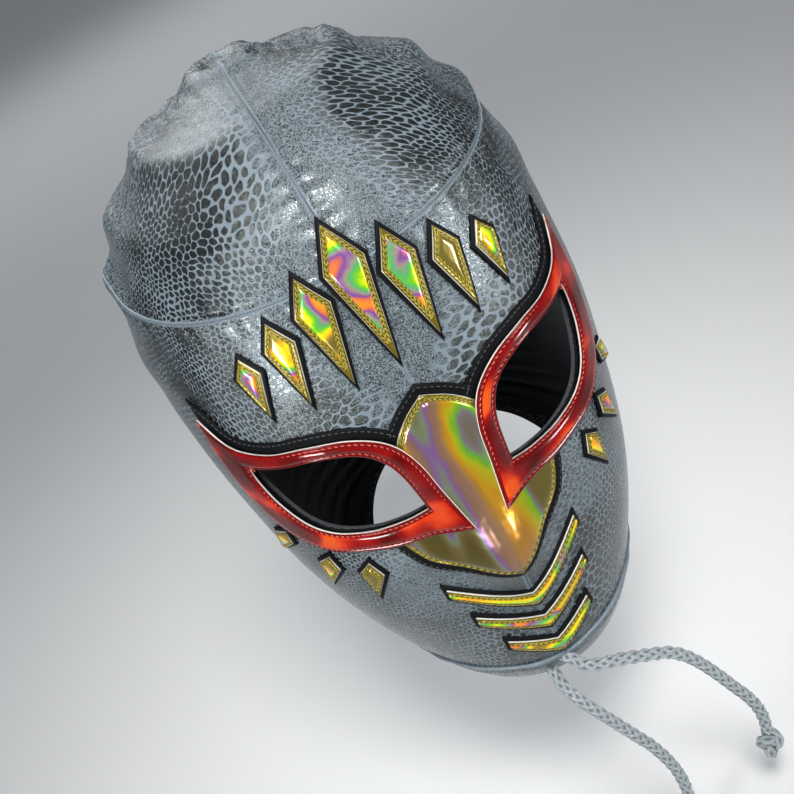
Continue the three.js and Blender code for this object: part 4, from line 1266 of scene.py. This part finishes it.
def band_section(width, middle):
    """Places across a band as shares from its first edge, and their distance in millimetres from
    the nearer edge, for each width."""
    scale = np.minimum(1, 0.5 * width / EDGE_LEVELS[-1])[:, None]
    near = EDGE_LEVELS[None, :] * scale
    first = near / np.maximum(width, 1e-6)[:, None]
    between = np.linspace(0, 1, middle + 2)[None, 1:-1]
    inner = first[:, -1:] + (1 - 2 * first[:, -1:]) * between
    shares = np.concatenate([first, inner, 1 - first[:, ::-1]], axis=1)
    distance = np.minimum(shares, 1 - shares) * width[:, None]
    return shares, distance


def band(name, edges, base, profile, middle, finishes, slot, node, closed=False, outline=None, crest=0.0):
    """A flat band between two matching edges, laid on the face. profile gives the height over the
    base at a distance from the edge, or from the outline where there is one, and crest raises a
    crease along the face's middle. The side walls and the flat underside close it, and where the
    band doesn't close on itself its ends are closed too."""
    left, right = edges
    width = np.linalg.norm(right - left, axis=1)
    shares, distance = band_section(width, middle)
    upper = left[:, None] + shares[..., None] * (right - left)[:, None]
    if outline is not None:
        distance = np.maximum(edge_distance(upper.reshape(-1, 2), outline)[0], 0).reshape(distance.shape)
    rise = profile(distance) + crest * np.exp(-np.abs(upper[..., 0]) / CREASE_WIDTH)
    shares = np.concatenate([shares[:, :1], shares, shares[:, -1:], shares[:, ::-4]], axis=1)
    flat = left[:, None] + shares[..., None] * (right - left)[:, None]
    top = distance.shape[1]
    height = np.full(shares.shape, float(base))
    height[:, 1 : top + 1] += rise
    points = laid(flat, height)
    edge = np.zeros(height.shape)
    edge[:, 1 : top + 1] = distance
    maps = [flat / 10, np.stack([edge, 0 * edge], axis=-1)]
    if closed:
        points, *maps = (closed_line(grid) for grid in (points, *maps))
    else:
        points, *maps = capped(points, *maps)
    faces = grid_faces(*points.shape[:2], True)
    place = np.tile(np.arange(points.shape[1]), points.shape[0] - 1)
    cut = (place < 2) | ((place >= top - 1) & (place <= top + 1))
    layers = {"pattern": maps[0], "edge": maps[1]}
    return put(name, points.reshape(-1, 3), faces, finishes, node, layers, cut * (len(finishes) - 1))


def backing_profile(distance):
    """A flat sheet with a soft edge."""
    return (BACKING_TOP - BACKING_BASE) * (0.45 + 0.55 * (1 - np.exp(-distance / 0.25)))


def vinyl_profile(distance):
    """A rounded edge, a dent under the stitching and a soft crown inside it."""
    edge = 0.4 + 0.45 * (1 - np.exp(-distance / 0.28))
    dent = -0.28 * bell(distance, 1.25, 0.5)
    crown = 0.5 * np.clip((distance - 1.6) / 1.6, 0, 1) ** 0.6
    return edge + dent + crown


def black_band(name, edges, middle, node, **more):
    """A backing of black vinyl."""
    band(name, edges, BACKING_BASE, backing_profile, middle, [BLACK], "black_vinyl", node, **more)


def gold_band(name, edges, middle, node, finish, **more):
    """A piece of gold vinyl with its pale cut edge."""
    band(name, edges, GOLD_BASE, vinyl_profile, middle, [finish, CUT_EDGE], "gold_vinyl", node, **more)


def edge_points(corners, count):
    """count points on each straight stretch from corner to corner, with the corners kept."""
    parts = [np.linspace(a, b, count)[:-1] for a, b in zip(corners[:-1], corners[1:])]
    return np.concatenate(parts + [corners[-1:]])


def kite_edges(corners, count):
    """The two edges of a kite from its top to its foot, with matching points on both."""
    return [edge_points(edge, count) for edge in (closed_line(corners)[:1:-1], corners[:3])]


def kite_corners(across, along, width, height, degrees):
    """A kite with its widest place above its middle, turned about its centre."""
    corners = np.array(
        [
            (0, -0.5 * height),
            (0.5 * width, -KITE_SHOULDER * height),
            (0, 0.5 * height),
            (-0.5 * width, -KITE_SHOULDER * height),
        ]
    )
    turn = math.radians(degrees)
    spin = np.array([[math.cos(turn), -math.sin(turn)], [math.sin(turn), math.cos(turn)]])
    return corners @ spin + (across, along)


def brow_corners(place, height, width):
    tall = height * BROW_HEIGHT
    return kite_corners(place * BROW_PITCH, BROW_FOOT - 0.5 * tall, width * BROW_WIDTH, tall, 0)


def cheek_corners(side, at, height, turn):
    tall = height * CHEEK_HEIGHT
    edge = np.array(TRIM_LOWER_EDGE)[:8]
    level = np.interp(at, edge[:, 0], edge[:, 1])
    lean = math.radians(-turn)
    drop = EYE_LOWER_BORDER + CHEEK_GAP + 0.5 * tall
    across = EYE_INSET + at * EYE_SPAN + drop * math.sin(lean)
    along = EYE_LEVEL + level * EYE_HEIGHT + drop * math.cos(lean)
    return kite_corners(side * across, along, CHEEK_WIDTH, tall, -side * turn)


def chin_corners(index):
    """A chevron: its arms rise to both sides of its point."""
    first = NOSE_TOP + NOSE_LENGTH + EYE_UPPER_BORDER + 2 * CHIN_MARGIN
    room = HEM_LEVEL - HEM_WIDTH - CHIN_MARGIN - first
    pitch = room / len(CHIN_PIECES)
    share, dip = CHIN_PIECES[index]
    half = share * CHIN_HALF_WIDTH
    rise = dip * half
    top = first + (index + 1) * pitch - CHIN_BAND
    end = top - rise + CHEVRON_TAPER * CHIN_BAND
    upper = [(-half, top - rise), (0, top), (half, top - rise)]
    lower = [(half, end), (0, top + CHIN_BAND), (-half, end)]
    return np.array(upper + lower)


def outline_line(corners, step):
    """A closed outline with extra points, about a step apart, that keeps its corners."""
    parts = []
    for a, b in zip(corners, np.roll(corners, -1, axis=0)):
        count = max(2, int(np.linalg.norm(b - a) / step) + 1)
        parts.append(np.linspace(a, b, count, endpoint=False))
    return np.concatenate(parts)


# The rows of stitches on the vinyl, filled while its pieces are made; the black rows also hold the dots of
# painted shade in the chain's needle holes
GOLD_ROWS = []
BLACK_STITCH_AND_SHADE_ROWS = []
RED_ROWS = []

# Stitches: pitch, half-length, half-width, half-height, slant in degrees and step to the side
CHAIN_STROKES = (
    (CHAIN_PITCH, 0.98, 0.24, 0.27, 19, 0.36),
    (CHAIN_PITCH, 0.98, 0.24, 0.27, -19, -0.36),
)
# Painted shade: a small black dot in the middle of each chain link, for the shade in its needle hole
NEEDLE_HOLE_SHADE = (CHAIN_PITCH, 0.3, 0.2, 0.16, 0, 0.0)
RED_STITCH = (1.9, 0.72, 0.2, 0.24, 14, 0.0)
BLACK_STITCH = (1.9, 0.7, 0.17, 0.2, 0, 0.0)
HEM_RUN = (2.2, 0.8, 0.15, 0.15, 0, 0.0)
OVERLOCK = (0.95, 0.85, 0.14, 0.15, 52, 0.0)
CROSS_STITCH = (1.25, 0.8, 0.12, 0.13, -38, 0.0)


def ball(columns, rows):
    """Points and faces of a small ball, for stitches."""
    u = np.linspace(0, 2 * math.pi, columns, endpoint=False)[None, :]
    v = np.linspace(0, math.pi, rows)[:, None]
    points = np.stack([np.cos(v) + 0 * u, np.sin(v) * np.cos(u), np.sin(v) * np.sin(u)], axis=-1)
    return points.reshape(-1, 3), grid_faces(rows, columns, True)


STITCH_POINTS, STITCH_FACES = ball(6, 5)


def sewn(rows, surface):
    """Stitches along flat lines. Each row gives its line, the height of its middle, the pitch, the
    stitch's half-length, half-width and half-height, its slant in degrees and its step to the
    side. surface lays flat points."""
    points = []
    for line, height, pitch, long, wide, tall, slant, step in rows:
        count = max(2, round(line_length(line) / pitch))
        flat = spaced(line, count + 1)
        forward = unit(flat[1:] - flat[:-1])
        square = np.stack([-forward[:, 1], forward[:, 0]], axis=1)
        middle = 0.5 * (flat[1:] + flat[:-1]) + square * step
        lean = math.radians(slant)
        heading = forward * math.cos(lean) + square * math.sin(lean)
        other = np.stack([-heading[:, 1], heading[:, 0]], axis=1)
        ahead = surface(middle + 0.2 * heading, height) - surface(middle - 0.2 * heading, height)
        beside = surface(middle + 0.2 * other, height) - surface(middle - 0.2 * other, height)
        x = unit(ahead)
        z = unit(np.cross(x, beside))
        y = np.cross(z, x)
        basis = np.stack([x * long, y * wide, z * tall], axis=1)
        points.append(surface(middle, height)[:, None] + STITCH_POINTS @ basis)
    return np.concatenate(points)


def stitch_piece(name, rows, surface, finish):
    """One piece for many stitches."""
    points = sewn(rows, surface)
    first = (np.arange(len(points)) * len(STITCH_POINTS))[:, None, None]
    faces = (STITCH_FACES[None] + first).reshape(-1, 4)
    put(name, points.reshape(-1, 3), faces, [finish])


def chain(line):
    """Chain stitching along a line: each link is two strokes that close to a point, round a
    needle hole, whose shade is painted as a small black dot."""
    for stroke in CHAIN_STROKES:
        GOLD_ROWS.append((line, GOLD_BASE + 0.74, *stroke))
    BLACK_STITCH_AND_SHADE_ROWS.append((line, GOLD_BASE + 0.62, *NEEDLE_HOLE_SHADE))


def chain_round(corners):
    """Chain stitching inside an outline with straight edges."""
    chain(closed_line(outline_line(grow(corners, -CHAIN_INSET, longest=9)[0], step=0.6)))


def runs(line, keep):
    """The stretches of a line where keep is true."""
    cuts = np.flatnonzero(np.diff(keep.astype(int))) + 1
    parts = zip(np.split(line, cuts), np.split(keep, cuts))
    return [part for part, kept in parts if kept[0] and len(part) > 3]


def crown_and_face():
    """The cloth panels and hems of both sides."""
    for side, word in SIDES:
        crown = crown_panel(side, word)
        face = face_panel(side, word)
        hem = hem_band(side, word)


def kite(name, corners, node, backing_node):
    """A gold kite on its black backing, with its chain stitching."""
    black_band(f"{name}_backing", kite_edges(grow(corners, PIECE_BORDER)[0], 14), 2, backing_node)
    gold_band(f"{name}_gold", kite_edges(corners, 22), 5, node, GOLD)
    chain_round(corners)


def brow_and_cheeks():
    """The kites on the forehead and under the eye trims."""
    for i, row in enumerate(BROW_PIECES):
        kite(f"brow_kite_{i + 1}", brow_corners(*row), f"brow_piece_{i + 1}", f"brow_backing_{i + 1}")
    for side, word in SIDES:
        for i, row in enumerate(CHEEK_PIECES):
            corners = cheek_corners(side, *row)
            tail = f"{word}_{i + 1}"
            kite(f"cheek_kite_{tail}", corners, f"cheek_piece_{tail}", f"cheek_backing_{tail}")


def chevron_edges(corners):
    """The upper and lower edges of a chevron, with matching points on both."""
    return [edge_points(edge, 26) for edge in (corners[:3], corners[:2:-1])]


def chin():
    """The chevrons and their backings, with their chain stitching."""
    for i in range(len(CHIN_PIECES)):
        corners = chin_corners(i)
        border = grow(corners, PIECE_BORDER)[0]
        black_band(f"chin_backing_piece_{i + 1}", chevron_edges(border), 3, f"chin_backing_{i + 1}")
        gold_band(f"chin_gold_piece_{i + 1}", chevron_edges(corners), 3, f"chin_chevron_{i + 1}", GOLD)
        chain_round(corners)


def nose_line(count):
    """Half of the nose piece's outline: two smooth stretches that meet at its widest corner."""
    edge = np.array(NOSE_EDGE) * (NOSE_PIECE_HALF, NOSE_LENGTH) + (0, NOSE_TOP)
    corner = int(np.argmax(edge[:, 0]))
    upper = smooth_line(edge[: corner + 1], count)
    lower = smooth_line(edge[corner:], count)
    return np.concatenate([upper[:-1], lower])


def beside_eyes(line):
    """Half an outline whose points stay clear of the eye opening, under the red trim: no point is
    farther out than the opening's nearest place at its level."""
    hole = grow(eye_hole_outline(1, 40), EYE_COVER)[0]
    across = np.linspace(0, NOSE_PIECE_HALF + EYE_UPPER_BORDER, 160)
    grid = np.stack(np.meshgrid(across, line[:, 1]), axis=-1)
    inside = edge_distance(grid.reshape(-1, 2), hole)[0].reshape(grid.shape[:2]) > 0
    nearest = np.where(inside.any(axis=1), across[np.argmax(inside, axis=1)], across[-1])
    return np.stack([np.minimum(line[:, 0], nearest), line[:, 1]], axis=1)


def nose():
    """The nose piece and its backing, with chain stitching and black running stitches where the
    red trims leave them free."""
    right = nose_line(60)
    outline = mirrored(right)
    border = grow(outline, EYE_UPPER_BORDER)[0]
    border_right = border[: len(right)].copy()
    border_right[[0, -1], 0] = 0
    gold, black = beside_eyes(right), beside_eyes(border_right)
    edges = [(half * (-1, 1), half) for half in (gold, black)]
    gold_band("nose_gold", edges[0], 35, "nose_piece", NOSE_GOLD, outline=mirrored(gold), crest=CREASE_RISE)
    black_band("nose_black", edges[1], 24, "nose_backing", outline=mirrored(black))
    for inset, around in ((CHAIN_INSET + 0.15, outline), (NOSE_STITCH_INSET, border)):
        line = closed_line(grow(around, -inset)[0])
        covered = [edge_distance(line, eye_trim_outline(side, 60))[0] for side in (-1, 1)]
        for part in runs(line, np.maximum(*covered) < -0.4):
            if around is outline:
                chain(part)
            else:
                BLACK_STITCH_AND_SHADE_ROWS.append((part, BACKING_TOP + 0.05, *BLACK_STITCH))


def eyes():
    """The red trims round the eye openings on their black backings, with their stitching."""
    for side, word in SIDES:
        trim, hole = eye_trim_outline(side, 150), eye_hole_outline(side, 150)
        backing = eye_backing_outline(side, 150)
        black_band(f"eye_black_{word}", (backing, hole), 6, f"eye_backing_{word}", closed=True)
        name, node = f"eye_red_{word}", f"eye_trim_{word}"
        finishes = [RED, CUT_EDGE]
        band(name, (trim, hole), RED_BASE, vinyl_profile, 7, finishes, "red_vinyl", node, closed=True)
        for edge, inset in ((trim, -TRIM_STITCH_INSET), (hole, TRIM_STITCH_INSET)):
            RED_ROWS.append((closed_line(grow(edge, inset)[0]), RED_BASE + 0.72, *RED_STITCH))
        line = closed_line(grow(backing, -BACKING_STITCH_INSET)[0])
        BLACK_STITCH_AND_SHADE_ROWS.append((line, BACKING_TOP + 0.05, *BLACK_STITCH))


def round_face(flat, height):
    """Flat points laid on the worn cloth with its fine relief. Their first number is the angle
    times HALF_WIDTH."""
    angle = flat[..., 0] / HALF_WIDTH
    row = row_at(flat[..., 1])
    return cloth(angle, row, height + worn_relief(angle, row))


def seams():
    """Slanted overlock stitches on one side of each seam and small crossing ones on the other,
    and a running stitch along the hem."""
    rows = []
    for distance, stitch, height in ((-0.55, OVERLOCK, 0.14), (0.6, CROSS_STITCH, 0.12)):
        for start, end in (
            (12, CROWN_SEAM - STITCH_LINE),
            (CROWN_SEAM + STITCH_LINE, NOSE_TOP - 5),
            (NOSE_TOP + NOSE_LENGTH + EYE_UPPER_BORDER, HEM_LEVEL - HEM_WIDTH),
        ):
            levels = np.linspace(start, end, 120)
            across = distance / radius_at(row_at(levels)) * HALF_WIDTH
            rows.append((np.stack([across, levels], axis=1), height, *stitch))
        turn = np.linspace(-math.pi + 0.12, math.pi - 0.12, 600)
        rows.append((np.stack([turn * HALF_WIDTH, seam_level(turn) + distance], axis=1), height, *stitch))
    turn = np.linspace(-2.95, 2.95, 520)
    line = np.stack([turn * HALF_WIDTH, HEM_LEVEL - HEM_STITCH + 0 * turn], axis=1)
    rows.append((line, 1.02, *HEM_RUN))
    stitch_piece("seam_stitches", rows, round_face, PALE_THREAD)


# The bindings' cross-section: millimetres in from the opening's edge, and height over the cloth
BINDING_PROFILE = np.array(
    [
        (0.0, -0.9),
        (0.0, 0.7),
        (0.25, 1.15),
        (0.8, 1.35),
        (1.6, 1.3),
        (2.4, 1.2),
        (3.0, 0.9),
        (3.15, 0.0),
        (3.0, -0.9),
    ]
)


def back_bindings():
    """The bindings: their cross-section carried down both edges of the back opening."""
    inwards, height = BINDING_PROFILE.T[:, None]
    start = row_at(seam_level(math.pi)) + 0.05
    row = np.linspace(start, LAST_ROW, 200)[:, None] + 0 * inwards
    for side, word in SIDES:
        angle = side * back_angle(row, -0.5 * SEAM_GAP - inwards)
        wave = 0.12 * np.sin(along_at(row) / 1.9)
        points = cloth(angle, row, height + wave + worn_relief(angle, row))
        pattern = np.stack([inwards + 0 * row, along_at(row)], axis=-1) / 10
        closed_tube(f"edge_binding_{word}", points, pattern, BLACK, "black_vinyl", f"back_binding_{word}")


def back_lace():
    """The lace: it crosses the opening in a zigzag and dips into an eyelet at each turn."""
    start = row_at(CROWN_SEAM - CROWN_SEAM_LIFT + HEM_WIDTH)
    end = row_at(HEM_LEVEL - 2 * HEM_WIDTH)
    row = np.linspace(start, end, LACE_CROSSINGS + 1)
    side = np.where(np.arange(len(row)) % 2 == 0, 1, -1)
    angle = side * back_angle(row, EYELET_INSET)
    relief = worn_relief(angle, row)
    low = cloth(angle, row, relief - LACE_DIP)
    high = cloth(angle, row, relief + LACE_STAND + 0.5 * LACE_DIAMETER)
    share = np.array([0.22, 0.5, 0.78])[None, :, None]
    between = high[:-1, None] + share * (high[1:] - high[:-1])[:, None]
    path = np.concatenate([low[:-1, None], between], axis=1).reshape(-1, 3)
    path = smooth_line(np.concatenate([path, low[-1:]]), count=900)
    tube, pattern = braided_tube(path, 0.5 * LACE_DIAMETER, around=20)
    closed_tube("zigzag_lace", tube, pattern, CORD_FINISH, "braided_cord", "back_lace")
    eyelets(angle, row, relief)


def eyelets(angle, row, relief):
    """Whipped eyelets where the lace goes into the cloth: rings of radius EYELET_RADIUS whose
    thickness swells with each turn of thread."""
    around = np.linspace(0, 2 * math.pi, 57)[None, :, None, None]
    section = np.linspace(0, 2 * math.pi, 8, endpoint=False)[None, None, :, None]
    centre = cloth(angle, row, relief + 0.15)[:, None, None]
    normal = outward(angle, row)[:, None, None]
    level = unit(np.cross(normal, (0, 0, 1)))
    upright = np.cross(normal, level)
    thick = EYELET_THREAD * (1 + 0.22 * np.cos(EYELET_TURNS * around))
    ring = level * np.cos(around) + upright * np.sin(around)
    points = centre + ring * (EYELET_RADIUS + thick * np.cos(section)) + normal * thick * np.sin(section)
    count, rows, columns = points.shape[:3]
    first = np.arange(count)[:, None, None] * rows * columns
    faces = (grid_faces(rows, columns, True)[None] + first).reshape(-1, 4)
    put("lace_eyelets", points.reshape(-1, 3), faces, [BLACK_THREAD])


crown_and_face()
brow_and_cheeks()
chin()
nose()
eyes()
seams()
back_bindings()
back_lace()
stitch_piece("gold_chain_stitches", GOLD_ROWS, laid, GOLD_THREAD)
stitch_piece("red_stitches", RED_ROWS, laid, RED_THREAD)
# The black stitches, with the dots of painted shade in the chain's needle holes
stitch_piece("black_stitches_and_hole_shade", BLACK_STITCH_AND_SHADE_ROWS, laid, BLACK_THREAD)


# Floor and light
FLOOR_LEVEL = -0.336
FLOOR_REACH = 40.0
HEAD_MIDDLE = (0.0, -0.05, -0.08)
WARM = (1.0, 0.99, 0.97)
COOL = (0.97, 0.985, 1.0)
WORLD_COLOUR = (0.86, 0.92, 1.0)
WORLD_STRENGTH = 0.2
SOFTBOXES = [
    # name, place, target, width, height, power, colour, spread
    ("above", (0.08, -0.66, 0.66), HEAD_MIDDLE, 0.32, 0.32, 2.0, WARM, 60),
    ("left", (-0.72, -0.6, -0.02), HEAD_MIDDLE, 0.2, 0.26, 0.95, COOL, 60),
    ("right", (0.78, -0.56, -0.08), HEAD_MIDDLE, 0.18, 0.26, 0.68, COOL, 60),
    ("behind", (-0.3, 0.95, 0.85), (0.0, 0.03, -0.1), 0.8, 0.8, 0.9, COOL, 60),
    ("room", (0.2, 2.5, 2.3), (0.0, 2.5, FLOOR_LEVEL), 2.4, 2.4, 40.0, COOL, 180),
]


def floor():
    """A wide pale floor."""
    mesh = bpy.data.meshes.new("studio_floor")
    corners = [(-1, -1), (1, -1), (1, 1), (-1, 1)]
    points = [(FLOOR_REACH * x, FLOOR_REACH * y, FLOOR_LEVEL) for x, y in corners]
    mesh.from_pydata(points, [], [(0, 1, 2, 3)])
    mesh.materials.append(floor_finish())
    piece = bpy.data.objects.new("studio_floor", mesh)
    bpy.context.scene.collection.objects.link(piece)


def softbox(name, place, target, width, height, power, colour, spread):
    """A soft light whose beam opens by spread degrees."""
    data = bpy.data.lights.new(name, "AREA")
    data.shape = "RECTANGLE"
    data.size = width
    data.size_y = height
    data.energy = power
    data.color = colour
    data.spread = math.radians(spread)
    light = bpy.data.objects.new(name, data)
    turn = (Vector(target) - Vector(place)).to_track_quat("-Z", "Y")
    light.matrix_world = Matrix.Translation(Vector(place)) @ turn.to_matrix().to_4x4()
    bpy.context.scene.collection.objects.link(light)


def lights():
    """The softboxes, and a dim even sky."""
    for row in SOFTBOXES:
        softbox(*row)
    world = bpy.data.worlds.new("studio")
    world.use_nodes = True
    background = world.node_tree.nodes["Background"]
    background.inputs["Color"].default_value = (*WORLD_COLOUR, 1)
    background.inputs["Strength"].default_value = WORLD_STRENGTH
    bpy.context.scene.world = world
    bpy.context.scene.view_settings.view_transform = "Standard"


floor()
lights()
